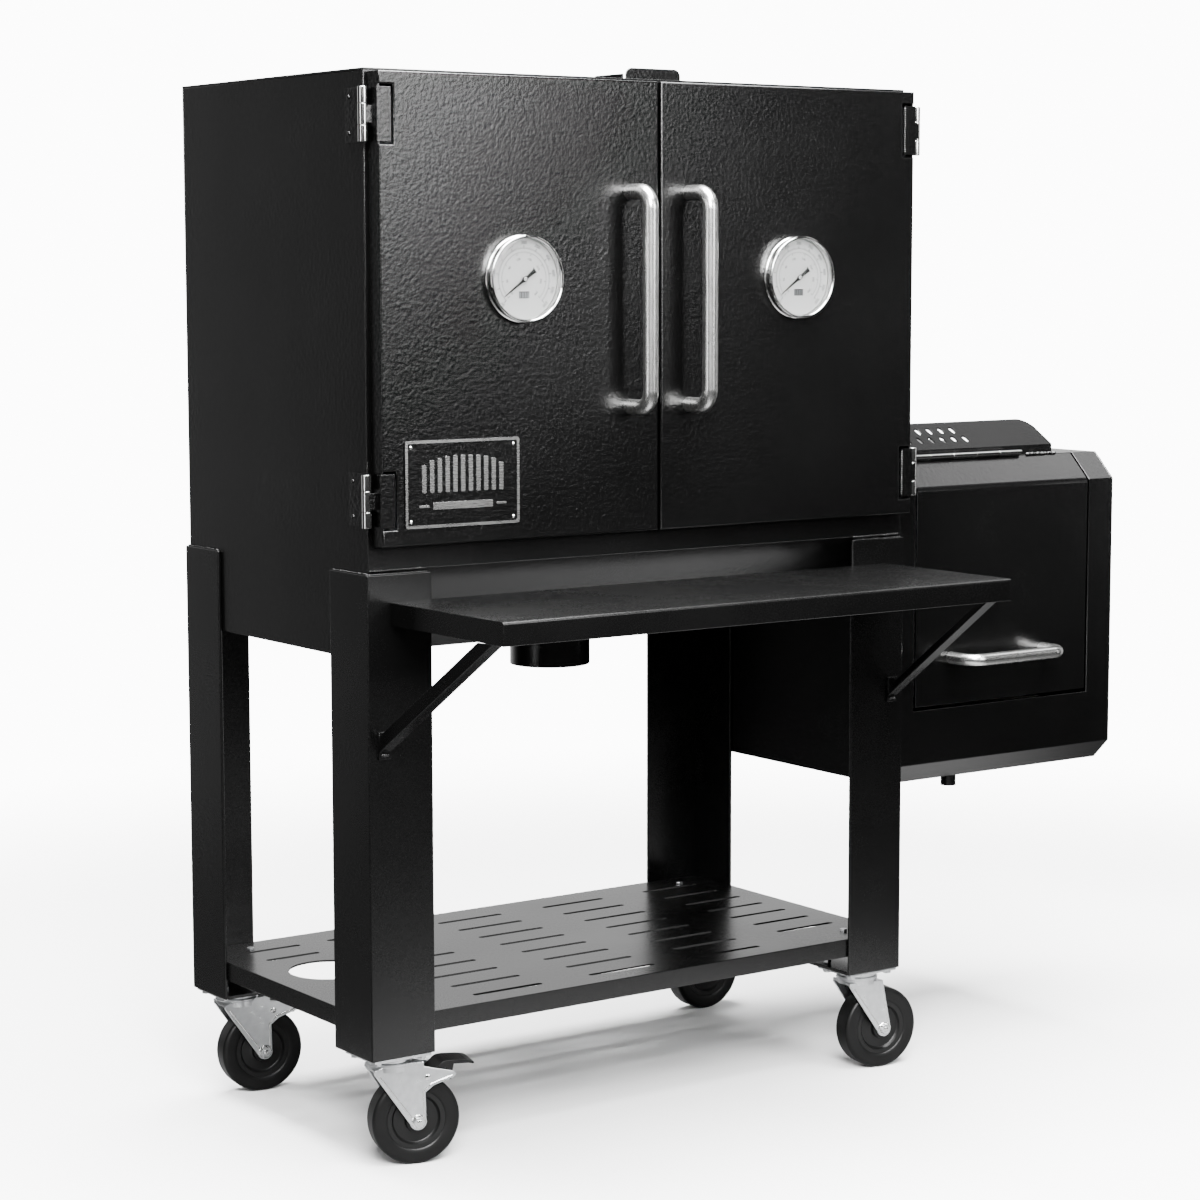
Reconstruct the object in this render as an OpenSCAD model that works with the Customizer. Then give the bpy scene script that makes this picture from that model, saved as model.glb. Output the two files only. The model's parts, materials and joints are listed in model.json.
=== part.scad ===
// Offset smoker: a two-door cooking cabinet on a wheeled leg frame, with a firebox on its right side.
// Millimetres, +Z up, front towards -Y. The origin is on the floor under the middle of the whole smoker.
// The modules work from the cabinet's front left corner, and place() moves them to the origin.

/* [Cabinet] */
// Width of the cabinet
cab_w = 942; // [800:1:1150]
// Depth of the cabinet
cab_d = 518; // [440:1:620]
// Height of the roof's outer face above the floor
cab_top = 1508; // [1400:1:1750]
// Height of the cabinet's underside
cab_base = 715; // [640:1:760]
// Height at which the front face turns back into the sloped panel
slope_top = 838; // [800:1:870]
// Depth that the sloped panel covers
slope_run = 90; // [60:1:120]
// Sheet thickness of the cabinet and firebox
sheet = 3; // [2:0.5:5]
// Height of the door openings' lower edge
opening_base = 900; // [885:1:930]
// Margin between the openings and the cabinet's outer sides and roof
opening_margin = 20; // [15:1:40]
// Width of the post between the two openings
post_w = 28; // [26:1:60]

/* [Doors] */
// Thickness of a cabinet door
door_t = 28; // [22:1:45]
// Thickness of the gasket that the doors close on
gasket_t = 3; // [2:0.5:6]
// Width of the gasket strip
gasket_w = 12; // [8:1:13]
// Height of the doors' lower edge
door_base = 872; // [860:1:880]
// Distance from the doors' upper edge to the roof's outer face
door_drop = 5; // [3:1:15]
// Distance from the doors' outer edges to the cabinet's sides
door_inset = 5; // [4:1:10]
// Gap between the two doors
door_gap = 5; // [4:1:12]
// Distance from the cabinet's middle to the middle of the gap, towards the left
gap_shift = 7; // [0:1:8]
// Radius of the bent handle tube
handle_r = 11; // [8:0.5:14]
// Height of a handle, centre to centre of its ends
handle_span = 300; // [200:1:400]
// Distance from the door's face to the handle's centre line
handle_reach = 50; // [40:1:70]
// Height of the handles' middle
handle_z = 1199; // [1150:1:1250]
// Distance from a handle to its door's free edge
handle_inset = 49.5; // [30:0.5:90]
// Radius of the thermometer case
dial_r = 60; // [45:1:70]
// Distance from a thermometer's centre to its door's hinge edge
dial_inset = 225; // [150:1:260]
// Height of the thermometers' centres
dial_z = 1229; // [1150:1:1300]

/* [Hinges] */
// Radius of the hinge barrels
barrel_r = 6.5; // [5:0.5:9]
// Radius of the hinge pins
pin_r = 3; // [2:0.5:4]
// Height of a hinge
hinge_h = 72; // [50:1:100]
// Height of the lower hinges' middle
hinge_low = 934; // [915:1:960]
// Height of the upper hinges' middle
hinge_high = 1446; // [1300:1:1460]

/* [Firebox] */
// Width of the firebox
fb_w = 457; // [380:1:560]
// Distance from the cabinet's back to the firebox's back
fb_back = 11; // [5:1:60]
// Height of the firebox's underside
fb_base = 442; // [420:1:480]
// Height of the firebox's top
fb_top = 944; // [900:1:980]
// Size of the chamfer along the firebox's upper front edge
chamfer_top = 41; // [30:1:60]
// Size of the chamfer along the firebox's lower front edge
chamfer_base = 32; // [20:1:50]
// Distance from the firebox's left side to its door
fb_door_left = 38; // [30:1:60]
// Distance from the firebox's right side to its door
fb_door_right = 57; // [40:1:80]
// Height of the firebox door's lower edge
fb_door_base = 564; // [540:1:600]
// Height of the firebox door's handle
fb_handle_z = 637; // [600:1:700]

/* [Frame] */
// Width of a leg's flange
leg_w = 102; // [90:1:110]
// Thickness of a leg's flange
leg_t = 5; // [3:0.5:8]
// Height of the legs' upper ends
leg_top = 833; // [780:1:836]
// Height of the legs' lower ends
leg_base = 161; // [157:1:180]
// Height of the bottom shelf's top face
tray_top = 218; // [200:1:300]
// Depth of the bottom shelf's turned-down lips
tray_lip = 28; // [15:1:40]
// Distance from the cabinet's sides to the front shelf's ends
shelf_inset = 31; // [20:1:36]
// Depth of the front shelf
shelf_d = 278; // [200:1:320]
// Height of the front shelf's top face
shelf_top = 795; // [760:1:800]
// Depth of the front shelf's turned-down lips
shelf_lip = 32; // [20:1:45]

/* [Casters] */
// Radius of the caster wheels
wheel_r = 63.5; // [50:0.5:70]
// Width of the caster wheels
wheel_w = 36; // [28:1:40]
// Distance from the swivel axis to the wheel's axle
trail = 35; // [25:1:40]
// Radius of the wheels' axle bolts
axle_r = 5; // [4:0.5:7]

/* [Fits] */
// Radial clearance of a running fit
run = 0.06; // [0.03:0.01:0.1]
// Gap between parts that pass each other
gap = 0.5; // [0.4:0.1:1]

/* [Hidden] */
$fn = 48;

black = [0.07, 0.07, 0.07];
steel = [0.72, 0.72, 0.7];

// Doors, in the plan of the cabinet
door_back = -gasket_t;
door_front = door_back - door_t;
door_top = cab_top - door_drop;
meet_x = cab_w / 2 - gap_shift;
left_door_w = meet_x - door_gap / 2 - door_inset;
right_door_w = cab_w - meet_x - door_gap / 2 - door_inset;
opening_top = cab_top - opening_margin - sheet;
liner_t = 2;

// Hinges
hinge_out = 11;
hinge_fwd = 16;
leaf_t = 3;

// Firebox
fb_x0 = cab_w + leg_t;
fb_x1 = fb_x0 + fb_w;
fb_y0 = 7;
fb_y1 = cab_d - fb_back;
fb_door_x0 = fb_x0 + fb_door_left;
fb_door_x1 = fb_x1 - fb_door_right;
fb_door_gap = 4;
fb_door_t = 22;
fb_hinge_r = 4;
fb_pin_r = 2;
fb_hinge_y = fb_y0 + chamfer_top - 2;
fb_hinge_z = fb_top + 5;
roof_front = fb_hinge_y + 8;
duct_y0 = 120;
duct_y1 = 400;
duct_z0 = cab_base + 23;
duct_z1 = duct_z0 + 65;
duct_rim = 15;
air_w = 90;
air_h = 46;
air_y = 290;
air_z = 500;
air_travel = 80;

// Exhaust
vent_x = 620;
vent_y = 233;
vent_w = 76;
vent_d = 50;
slide_w = 96;
slide_l = 66;
slide_travel = 50;
guide_h = 22;

// Casters
caster_plate_t = 4;
plate_base = leg_base - caster_plate_t;
crown_top = plate_base - 7.5;
crown_t = 12;
fork_gap = wheel_w + 8;
fork_t = 3.5;
caster_inset_x = leg_w / 2 - leg_t;
caster_inset_y = 37;
bolt_pitch_x = 72;
bolt_pitch_y = 58;

// Overall box, which puts the origin under the middle of the smoker
x_min = -hinge_out - barrel_r;
x_max = fb_x1 + 14;
y_min = -leg_t - shelf_d;
y_max = max(cab_d + leg_t, fb_y1);

function unit(v) = v / norm(v);
function left_of(v) = [-v[1], v[0]];

// A copy of a path, moved sideways by t with mitred corners
function beside(path, t) = [for (i = [0 : len(path) - 1])
    let (a = left_of(unit(i > 0 ? path[i] - path[i - 1] : path[1] - path[0])),
         b = left_of(unit(i < len(path) - 1 ? path[i + 1] - path[i] : path[i] - path[i - 1])))
    path[i] + t * (a + b) / (1 + a * b)];

function reversed(list) = [for (i = [len(list) - 1 : -1 : 0]) list[i]];

module place() {
    translate([-(x_min + x_max) / 2, -(y_min + y_max) / 2, 0]) children();
}

// A box between two corners
module block(a, b) {
    translate(a) cube(b - a);
}

// An outline in Y and Z, drawn out from x0 to x1
module along_x(x0, x1) {
    translate([x0, 0, 0]) rotate([90, 0, 90]) linear_extrude(x1 - x0) children();
}

// A sheet bent along a path in Y and Z; its thickness lies to the left of the path
module bent_sheet(path, t, x0, x1) {
    along_x(x0, x1) polygon(concat(path, reversed(beside(path, t))));
}

module rounded_rect(w, h, r) {
    translate([r, 0]) square([w - 2 * r, h]);
    translate([0, r]) square([w, h - 2 * r]);
    for (x = [r, w - r], y = [r, h - r]) translate([x, y]) circle(r);
}

// A rod along one of the axes
module rod(at, r, length, turn = [0, 0, 0]) {
    translate(at) rotate(turn) cylinder(r = r, h = length);
}

// Puts a part made for the left side of the cabinet on the right side
module on_right() {
    translate([cab_w, 0, 0]) mirror([1, 0, 0]) children();
}

// ---- cabinet ----

module side_outline() {
    polygon([[sheet, slope_top - sheet * (slope_top - cab_base) / slope_run],
        [sheet, cab_top - sheet], [cab_d - sheet, cab_top - sheet],
        [cab_d - sheet, cab_base], [slope_run, cab_base]]);
}

module cabinet_left_wall() {
    color(black) place() along_x(0, sheet) side_outline();
}

module cabinet_right_wall() {
    color(black) place() difference() {
        along_x(cab_w - sheet, cab_w) side_outline();
        block([cab_w - sheet - 1, duct_y0, duct_z0], [cab_w + 1, duct_y1, duct_z1]);
    }
}

module cabinet_back_wall() {
    color(black) place()
        block([0, cab_d - sheet, cab_base], [cab_w, cab_d, cab_top - sheet]);
}

module cabinet_roof() {
    color(black) place() difference() {
        block([0, 0, cab_top - sheet], [cab_w, cab_d, cab_top]);
        block([vent_x - vent_w / 2, vent_y - vent_d / 2, cab_top - sheet - 1],
            [vent_x + vent_w / 2, vent_y + vent_d / 2, cab_top + 1]);
    }
}

collar_r = 60.5;
collar_wall = 3;
collar_drop = 67;
collar_x = cab_w / 2;
collar_y = cab_d / 2;

module cabinet_floor() {
    floor_path = [[cab_d - sheet, cab_base], [slope_run, cab_base], [0, slope_top]];
    color(black) place() difference() {
        bent_sheet(floor_path, -sheet, sheet, cab_w - sheet);
        rod([collar_x, collar_y, cab_base - 1], collar_r - collar_wall, sheet + 2);
        block([0, -10, slope_top], [cab_w, 20, slope_top + 10]);
    }
}

module opening_boxes(grow, y0, y1) {
    for (side = [[opening_margin, (cab_w - post_w) / 2], [(cab_w + post_w) / 2, cab_w - opening_margin]])
        block([side[0] - grow, y0, opening_base - grow], [side[1] + grow, y1, opening_top + grow]);
}

module cabinet_front_frame() {
    color(black) place() difference() {
        block([0, 0, slope_top], [cab_w, sheet, cab_top - sheet]);
        opening_boxes(0, -1, sheet + 1);
    }
}

module door_gasket() {
    color([0.15, 0.15, 0.15]) place() difference() {
        opening_boxes(gasket_w, -gasket_t, 0);
        opening_boxes(0, -gasket_t - 1, 1);
    }
}

rack_step = 135;
pan_level = 860;
rail_t = 2;
side_rail_w = 27;
centre_rail_w = 52;
rack_levels = [for (i = [1 : 4]) pan_level + i * rack_step - 65];

module side_rail(z) {
    block([sheet, sheet, z - rail_t], [sheet + side_rail_w, cab_d - sheet, z]);
    block([sheet, sheet, z - 20], [sheet + rail_t, cab_d - sheet, z]);
}

module rack_rails() {
    color([0.3, 0.3, 0.3]) place() {
        for (z = concat([pan_level], rack_levels)) {
            side_rail(z);
            on_right() side_rail(z);
        }
        for (z = rack_levels) {
            block([(cab_w - centre_rail_w) / 2, sheet, z - rail_t],
                [(cab_w + centre_rail_w) / 2, cab_d - sheet, z]);
            block([cab_w / 2 - 1, sheet, z - 20], [cab_w / 2 + 1, cab_d - sheet, z]);
        }
    }
}

rack_w = (cab_w - post_w) / 2 - opening_margin - 6;
rack_d = cab_d - 2 * sheet - 20;
bar = 6;
rack_bars = 14;

module rack() {
    for (y = [0, rack_d - bar]) block([0, y, 0], [rack_w, y + bar, bar]);
    for (i = [0 : rack_bars]) {
        x = i * (rack_w - bar) / rack_bars;
        block([x, 0, 0], [x + bar, rack_d, bar]);
    }
}

module cooking_racks() {
    color(steel) place() for (z = rack_levels, x = [opening_margin + 3, (cab_w + post_w) / 2 + 3])
        translate([x, sheet + 10, z]) rack();
}

pan_depth = 50;
pan_lip = 20;
pan_t = 2;

module water_pan() {
    x0 = sheet + 4;
    x1 = cab_w - sheet - 4;
    color([0.5, 0.5, 0.5]) place() difference() {
        union() {
            block([x0, 60, pan_level], [x1, cab_d - 60, pan_level + pan_t]);
            block([x0 + pan_lip + 6, 70, pan_level - pan_depth],
                [x1 - pan_lip - 6, cab_d - 70, pan_level + pan_t]);
        }
        block([x0 + pan_lip + 6 + pan_t, 70 + pan_t, pan_level - pan_depth + pan_t],
            [x1 - pan_lip - 6 - pan_t, cab_d - 70 - pan_t, pan_level + pan_t + 1]);
    }
}

stub_r = 12;
stub_x = fb_x0 + 149;
stub_y = fb_y0 + chamfer_base + 14;
stub_drop = 17;

module drain_outlets() {
    color(black) place() {
        difference() {
            rod([collar_x, collar_y, cab_base - collar_drop], collar_r, collar_drop);
            rod([collar_x, collar_y, cab_base - collar_drop - 1], collar_r - collar_wall, collar_drop + 2);
        }
        difference() {
            rod([stub_x, stub_y, fb_base - stub_drop], stub_r, stub_drop);
            rod([stub_x, stub_y, fb_base - stub_drop - 1], stub_r - 3, stub_drop + 2);
        }
    }
}

// ---- dampers ----

slide_lift = gap;
slide_t = 3;
guide_gap = 1;
guide_lip = 8;

module exhaust_guide(side) {
    x = vent_x + side * (slide_w / 2 + guide_gap + 1.5);
    y0 = vent_y - vent_d / 2 - 3;
    block([x - 1.5, y0, cab_top], [x + 1.5, y0 + slide_l + 4, cab_top + guide_h]);
    lip_z = cab_top + slide_lift + slide_t + guide_gap;
    block([x - 1.5 - (side > 0 ? guide_lip : 0), y0, lip_z],
        [x + 1.5 + (side > 0 ? 0 : guide_lip), y0 + slide_l + 4, lip_z + 2]);
}

module air_guide(side) {
    z = air_z + side * (air_h / 2 + 8 + guide_gap + 1.5);
    y0 = air_y - air_w / 2 - 10;
    y1 = air_y + air_w / 2 + 10;
    lip_x = fb_x1 + slide_lift + slide_t + guide_gap;
    block([fb_x1, y0, z - 1.5], [lip_x + 2, y1, z + 1.5]);
    block([lip_x, y0, z - 1.5 - (side > 0 ? 5 : 0)], [lip_x + 2, y1, z + 1.5 + (side > 0 ? 0 : 5)]);
}

module damper_guides() {
    color(black) place() for (side = [-1, 1]) {
        exhaust_guide(side);
        air_guide(side);
    }
}

tab_w = 100;
tab_h = 30;
tab_r = 11;

module exhaust_damper() {
    z = cab_top + slide_lift;
    y0 = vent_y - vent_d / 2 - 8;
    color(black) place() {
        block([vent_x - slide_w / 2, y0, z], [vent_x + slide_w / 2, y0 + slide_l, z + slide_t]);
        translate([vent_x - tab_w / 2, y0, z]) rotate([90, 0, 0]) linear_extrude(slide_t) difference() {
            translate([0, -20]) rounded_rect(tab_w, tab_h + 20, tab_r);
            translate([-1, -21]) square([tab_w + 2, 21]);
        }
    }
}

module air_damper() {
    x = fb_x1 + slide_lift;
    color(black) place() {
        block([x, air_y - air_w / 2 - 8, air_z - air_h / 2 - 8],
            [x + slide_t, air_y + air_w / 2 + 8, air_z + air_h / 2 + 8]);
        block([x, air_y - 8 - air_w / 2, air_z - 15], [fb_x1 + 14, air_y - 5 - air_w / 2, air_z + 15]);
    }
}

// ---- leg frame ----

module leg() {
    block([-leg_t, -leg_t, leg_base], [leg_w - leg_t, 0, leg_top]);
    block([-leg_t, -leg_t, leg_base], [0, leg_w - leg_t, leg_top]);
}

// Repeats a part made for the front left corner at corner i of the cabinet
module at_corner(i) {
    translate([i % 2 * cab_w, floor(i / 2) * cab_d, 0])
        mirror([i % 2, 0, 0]) mirror([0, floor(i / 2), 0]) children();
}

module leg_front_left() { color(black) place() at_corner(0) leg(); }
module leg_front_right() { color(black) place() at_corner(1) leg(); }
module leg_rear_left() { color(black) place() at_corner(2) leg(); }
module leg_rear_right() { color(black) place() at_corner(3) leg(); }

bolt_r = 3.9;
bolt_gap = 0.3;
shelf_bolt_x = 66;
shelf_bolt_y = 46;

module plate_bolts() {
    for (x = [-1, 1], y = [-1, 1])
        translate([caster_inset_x + x * bolt_pitch_x / 2, caster_inset_y + y * bolt_pitch_y / 2, 0])
            children();
}

module leg_base_plates() {
    color(black) place() for (i = [0 : 3]) at_corner(i) difference() {
        block([0, 0, leg_base], [leg_w - leg_t, leg_w - leg_t, leg_base + leg_t]);
        plate_bolts() rod([0, 0, leg_base - 1], bolt_r + bolt_gap, leg_t + 2);
    }
}

hole_r = 60;
hole_x = 101;
hole_y = 295;
slot_l = 118;
slot_w = 10;
slot_step = 59;
slot_first = 44;

// Slot columns: x of the middle, length, first row and last row
slot_columns = [[98, 90, 6, 7], [250, slot_l, 0, 7], [451, slot_l, 0, 7], [649, slot_l, 0, 7],
    [845, 110, 1, 7]];

module slots(height) {
    for (c = slot_columns, row = [c[2] : c[3]])
        translate([c[0] - c[1] / 2, slot_first + row * slot_step - slot_w / 2, tray_top - height / 2])
            linear_extrude(height) rounded_rect(c[1], slot_w, slot_w / 2 - 0.01);
}

module bottom_shelf() {
    color(black) place() difference() {
        block([0, 0, tray_top - tray_lip], [cab_w, cab_d, tray_top]);
        block([sheet, sheet, tray_top - tray_lip - 1], [cab_w - sheet, cab_d - sheet, tray_top - sheet]);
        slots(4 * sheet);
        rod([hole_x, hole_y, tray_top - 2 * sheet], hole_r, 4 * sheet);
    }
}

shelf_x0 = shelf_inset;
shelf_x1 = cab_w - shelf_inset;
shelf_y0 = -leg_t - shelf_d;

module front_shelf() {
    r = 4;
    color(black) place() difference() {
        along_x(shelf_x0, shelf_x1) union() {
            translate([shelf_y0, shelf_top - shelf_lip]) square([shelf_d, shelf_lip - r]);
            translate([shelf_y0 + r, shelf_top - r]) square([shelf_d - r, r]);
            translate([shelf_y0 + r, shelf_top - r]) circle(r);
        }
        block([shelf_x0 + sheet, shelf_y0 + sheet, shelf_top - shelf_lip - 1],
            [shelf_x1 - sheet, -leg_t - sheet, shelf_top - sheet]);
    }
}

brace_w = 19;
brace_t = 3;
brace_low = [18, -leg_t, 600];
brace_high = [shelf_x0 + 8, -leg_t - 236, shelf_top - shelf_lip];

// Left brace: a steel angle from a lug on the leg up to the underside of the shelf
module brace() {
    run_v = brace_high - brace_low;
    lean = atan2(run_v[0], norm([run_v[1], run_v[2]]));
    slope = atan2(run_v[2], -run_v[1]);
    difference() {
        translate(brace_low) rotate([90 - slope, 0, 0]) rotate([0, lean, 0]) translate([0, 0, -30])
            linear_extrude(norm(run_v) + 60) difference() {
                translate([-brace_w / 2, -brace_w / 2]) square(brace_w);
                translate([-brace_w / 2 + brace_t, -brace_w / 2 + brace_t]) square(brace_w);
            }
        block([-leg_t, -leg_t, 0], [shelf_x0 + brace_w, cab_d, shelf_top]);
        block([-leg_t, shelf_y0 - 80, brace_high[2]], [shelf_x0 + 2 * brace_w, 0, shelf_top + 80]);
    }
    translate(brace_low + [-brace_w / 2, -4, -brace_w]) cube([brace_w, 4, 2 * brace_w]);
}

module shelf_braces() {
    color(black) place() {
        brace();
        on_right() brace();
    }
}

module hex_head(r, h) {
    cylinder(r = r, h = h, $fn = 6);
}

// Caster bolts up through the leg plates, shelf bolts in the bottom shelf, and brace bolts
module bolts() {
    color(steel) place() {
        for (i = [0 : 3]) at_corner(i) plate_bolts() {
            rod([0, 0, plate_base - 5], bolt_r, leg_base + leg_t + 12 - plate_base + 5);
            translate([0, 0, plate_base - 5]) hex_head(7, 5);
            translate([0, 0, leg_base + leg_t]) hex_head(7, 6);
        }
        for (i = [0 : 3]) at_corner(i) translate([shelf_bolt_x, shelf_bolt_y, tray_top]) hex_head(6, 4);
    }
}

// ---- cabinet door hinges ----

knuckle = hinge_h / 3;
leaf_start = hinge_fwd + 4;
fixed_leaf_w = 40;
door_leaf_w = 19;
notch_gap = 3.5;

// The barrel's length from z0 to z1, bored for its pin
module barrel(z0, z1, r, bore) {
    difference() {
        rod([0, 0, z0], r, z1 - z0);
        rod([0, 0, z0 - 1], bore, z1 - z0 + 2);
    }
}

module each_hinge() {
    for (z = [hinge_low, hinge_high]) translate([-hinge_out, -hinge_fwd, z]) children();
}

module fixed_leaf() {
    wall = hinge_out;
    difference() {
        union() {
            for (z = [-hinge_h / 2, hinge_h / 2 - knuckle]) {
                rod([0, 0, z], barrel_r, knuckle);
                block([0, barrel_r - leaf_t, z], [wall, barrel_r, z + knuckle]);
                block([wall - leaf_t, barrel_r - leaf_t, z], [wall, leaf_start + leaf_t, z + knuckle]);
            }
            block([wall - leaf_t, leaf_start, -hinge_h / 2], [wall, leaf_start + fixed_leaf_w, hinge_h / 2]);
        }
        rod([0, 0, -hinge_h], pin_r, 2 * hinge_h);
        rod([0, 0, -knuckle / 2 - gap], barrel_r + gap, knuckle + 2 * gap);
    }
    rod([0, 0, -hinge_h / 2], pin_r, hinge_h);
}

fb_knuckles = 5;
fb_knuckle = (fb_door_x1 - fb_door_x0 - 120) / fb_knuckles;
fb_knuckle_x = fb_door_x0 + 10;

module fb_barrel(i) {
    x = fb_knuckle_x + i * fb_knuckle;
    translate([x, fb_hinge_y, fb_hinge_z]) rotate([90, 0, 90]) children();
}

// The cabinet's halves of the door hinges with their pins, and the firebox's half of its own hinge
module cabinet_hinges() {
    color(steel) place() {
        each_hinge() fixed_leaf();
        on_right() each_hinge() fixed_leaf();
        for (i = [0 : 2 : fb_knuckles - 1]) {
            fb_barrel(i) difference() {
                cylinder(r = fb_hinge_r, h = fb_knuckle - gap);
                translate([0, 0, -1]) cylinder(r = fb_pin_r, h = fb_knuckle + 2);
            }
            x = fb_knuckle_x + i * fb_knuckle;
            block([x, fb_hinge_y + 3, fb_top], [x + fb_knuckle - gap, fb_hinge_y + 24, fb_top + 2]);
            block([x, fb_hinge_y + 3, fb_top], [x + fb_knuckle - gap, fb_hinge_y + 5, fb_top + 4]);
        }
        rod([fb_knuckle_x, fb_hinge_y, fb_hinge_z], fb_pin_r, fb_knuckles * fb_knuckle - gap, [0, 90, 0]);
    }
}

// The door's half of one hinge: a knuckle, a web, and a leaf wrapped round the door's edge
module door_leaf() {
    edge = hinge_out + door_inset;
    front = hinge_fwd + door_front;
    half = hinge_h / 2;
    web = knuckle / 2 - gap;
    difference() {
        union() {
            rod([0, 0, -web], barrel_r, 2 * web);
            block([0, -barrel_r, -web], [edge, -barrel_r + leaf_t, web]);
            block([edge - leaf_t, front, -half], [edge, -barrel_r + leaf_t, half]);
            block([edge - leaf_t, front, -half], [edge + door_leaf_w, front + leaf_t, half]);
        }
        rod([0, 0, -hinge_h], pin_r + run, 2 * hinge_h);
        for (s = [-1, 1]) block([-1, -barrel_r - 0.01, s > 0 ? web : -half - 1],
            [edge - leaf_t - 0.01, barrel_r, s > 0 ? half + 1 : -web]);
    }
}

module left_door_hinges() { color(black) place() each_hinge() door_leaf(); }
module right_door_hinges() { color(black) place() on_right() each_hinge() door_leaf(); }

// ---- cabinet doors, each drawn as a left door of its own width ----

stem_r = 5;

module door_skin(w) {
    difference() {
        block([door_inset, door_front, door_base], [door_inset + w, door_back, door_top]);
        block([door_inset + sheet, door_front + sheet, door_base + sheet],
            [door_inset + w - sheet, door_back + 1, door_top - sheet]);
        rod([door_inset + dial_inset, door_front - 1, dial_z], stem_r, sheet + 2, [-90, 0, 0]);
        for (z = [hinge_low, hinge_high])
            block([door_inset - 1, door_front - 1, z - hinge_h / 2 - notch_gap],
                [door_inset + door_leaf_w + notch_gap, door_front + leaf_t, z + hinge_h / 2 + notch_gap]);
    }
}

module door_liner(w) {
    difference() {
        block([door_inset + sheet, door_back - liner_t, door_base + sheet],
            [door_inset + w - sheet, door_back, door_top - sheet]);
        rod([door_inset + dial_inset, door_back - liner_t - 1, dial_z], stem_r, liner_t + 2, [-90, 0, 0]);
    }
}

bend_r = 24;

// A U of bent tube whose ends meet the face y = 0 at z = 0 and z = span
module u_handle(r, span, reach) {
    for (z = [0, span]) rod([0, -reach + bend_r, z], r, reach - bend_r, [-90, 0, 0]);
    rod([0, -reach, bend_r], r, span - 2 * bend_r);
    for (top = [0, 1]) translate([0, -reach + bend_r, top ? span - bend_r : bend_r])
        mirror([0, 0, top]) rotate([0, 90, 180]) rotate_extrude(angle = 90) translate([bend_r, 0]) circle(r);
}

module door_handle(w) {
    translate([door_inset + w - handle_inset, door_front, handle_z - handle_span / 2])
        u_handle(handle_r, handle_span, handle_reach);
}

case_d = 16;
rim = 5;
face_t = 1.5;
stem_reach = 60;

// Moves to a thermometer's centre on the door's face, with +Z towards the viewer
module at_dial() {
    translate([door_inset + dial_inset, door_front, dial_z]) rotate([90, 0, 0]) children();
}

module thermometer() {
    at_dial() {
        difference() {
            cylinder(r = dial_r, h = case_d, $fn = 96);
            translate([0, 0, 3]) cylinder(r = dial_r - rim, h = case_d, $fn = 96);
            translate([0, 0, 1]) cylinder(r = 2 + run, h = case_d);
        }
        translate([0, 0, 3]) difference() {
            cylinder(r = dial_r - rim, h = face_t, $fn = 96);
            translate([0, 0, -1]) cylinder(r = 2 + run, h = case_d);
        }
        translate([0, 0, -stem_reach]) cylinder(r = stem_r - 0.5, h = stem_reach);
    }
}

module dial_glass() {
    at_dial() translate([0, 0, case_d - 4]) cylinder(r = dial_r - rim, h = 2, $fn = 96);
}

pointer_rest = 135;

// Pointer at rest: its tip towards the lower left, its counterweight opposite
module pointer() {
    at_dial() {
        translate([0, 0, 1.5]) cylinder(r = 2, h = 6);
        rotate([0, 0, pointer_rest]) translate([0, 0, 6.5]) linear_extrude(1) {
            polygon([[-2, -12], [2, -12], [0.6, 44], [-0.6, 44]]);
            circle(5);
            translate([0, -14]) circle(6);
        }
    }
}

badge_w = 184;
badge_h = 119;
badge_x = 39;
badge_z = 895;
badge_t = 2;

module badge() {
    color([0.1, 0.1, 0.1]) place() {
        block([badge_x, door_front - badge_t, badge_z], [badge_x + badge_w, door_front, badge_z + badge_h]);
        for (x = [8, badge_w - 8], z = [8, badge_h - 8])
            rod([badge_x + x, door_front - badge_t - 1.5, badge_z + z], 3, 1.5, [-90, 0, 0]);
    }
}

module left_door_skin() { color(black) place() door_skin(left_door_w); }
module left_door_liner() { color(steel) place() door_liner(left_door_w); }
module left_handle() { color(steel) place() door_handle(left_door_w); }
module left_thermometer() { color("white") place() thermometer(); }
module left_glass() { color([0.8, 0.9, 0.9, 0.3]) place() dial_glass(); }
module left_pointer() { color("black") place() pointer(); }
module right_door_skin() { color(black) place() on_right() door_skin(right_door_w); }
module right_door_liner() { color(steel) place() on_right() door_liner(right_door_w); }
module right_handle() { color(steel) place() on_right() door_handle(right_door_w); }
module right_thermometer() { color("white") place() on_right() thermometer(); }
module right_glass() { color([0.8, 0.9, 0.9, 0.3]) place() on_right() dial_glass(); }

// The right pointer points the same way as the left one, so it is moved over and not mirrored
module right_pointer() {
    color("black") place() translate([cab_w - 2 * (door_inset + dial_inset), 0, 0]) pointer();
}

// ---- firebox ----

fb_profile = [[fb_y0, fb_base + chamfer_base], [fb_y0, fb_top - chamfer_top], [fb_y0 + chamfer_top, fb_top]];

module fb_side_outline() {
    polygon(concat([[fb_y0 + chamfer_base, fb_base]], fb_profile, [[fb_y1, fb_top], [fb_y1, fb_base]]));
}

module firebox_left_wall() {
    color(black) place() difference() {
        union() {
            along_x(fb_x0, fb_x0 + sheet) fb_side_outline();
            block([cab_w, duct_y0 - duct_rim, duct_z0 - duct_rim],
                [fb_x0 + 1, duct_y1 + duct_rim, duct_z1 + duct_rim]);
        }
        block([cab_w - 1, duct_y0, duct_z0], [fb_x0 + sheet + 1, duct_y1, duct_z1]);
    }
}

module firebox_right_wall() {
    color(black) place() difference() {
        along_x(fb_x1 - sheet, fb_x1) fb_side_outline();
        block([fb_x1 - sheet - 1, air_y - air_w / 2, air_z - air_h / 2],
            [fb_x1 + 1, air_y + air_w / 2, air_z + air_h / 2]);
    }
}

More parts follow.
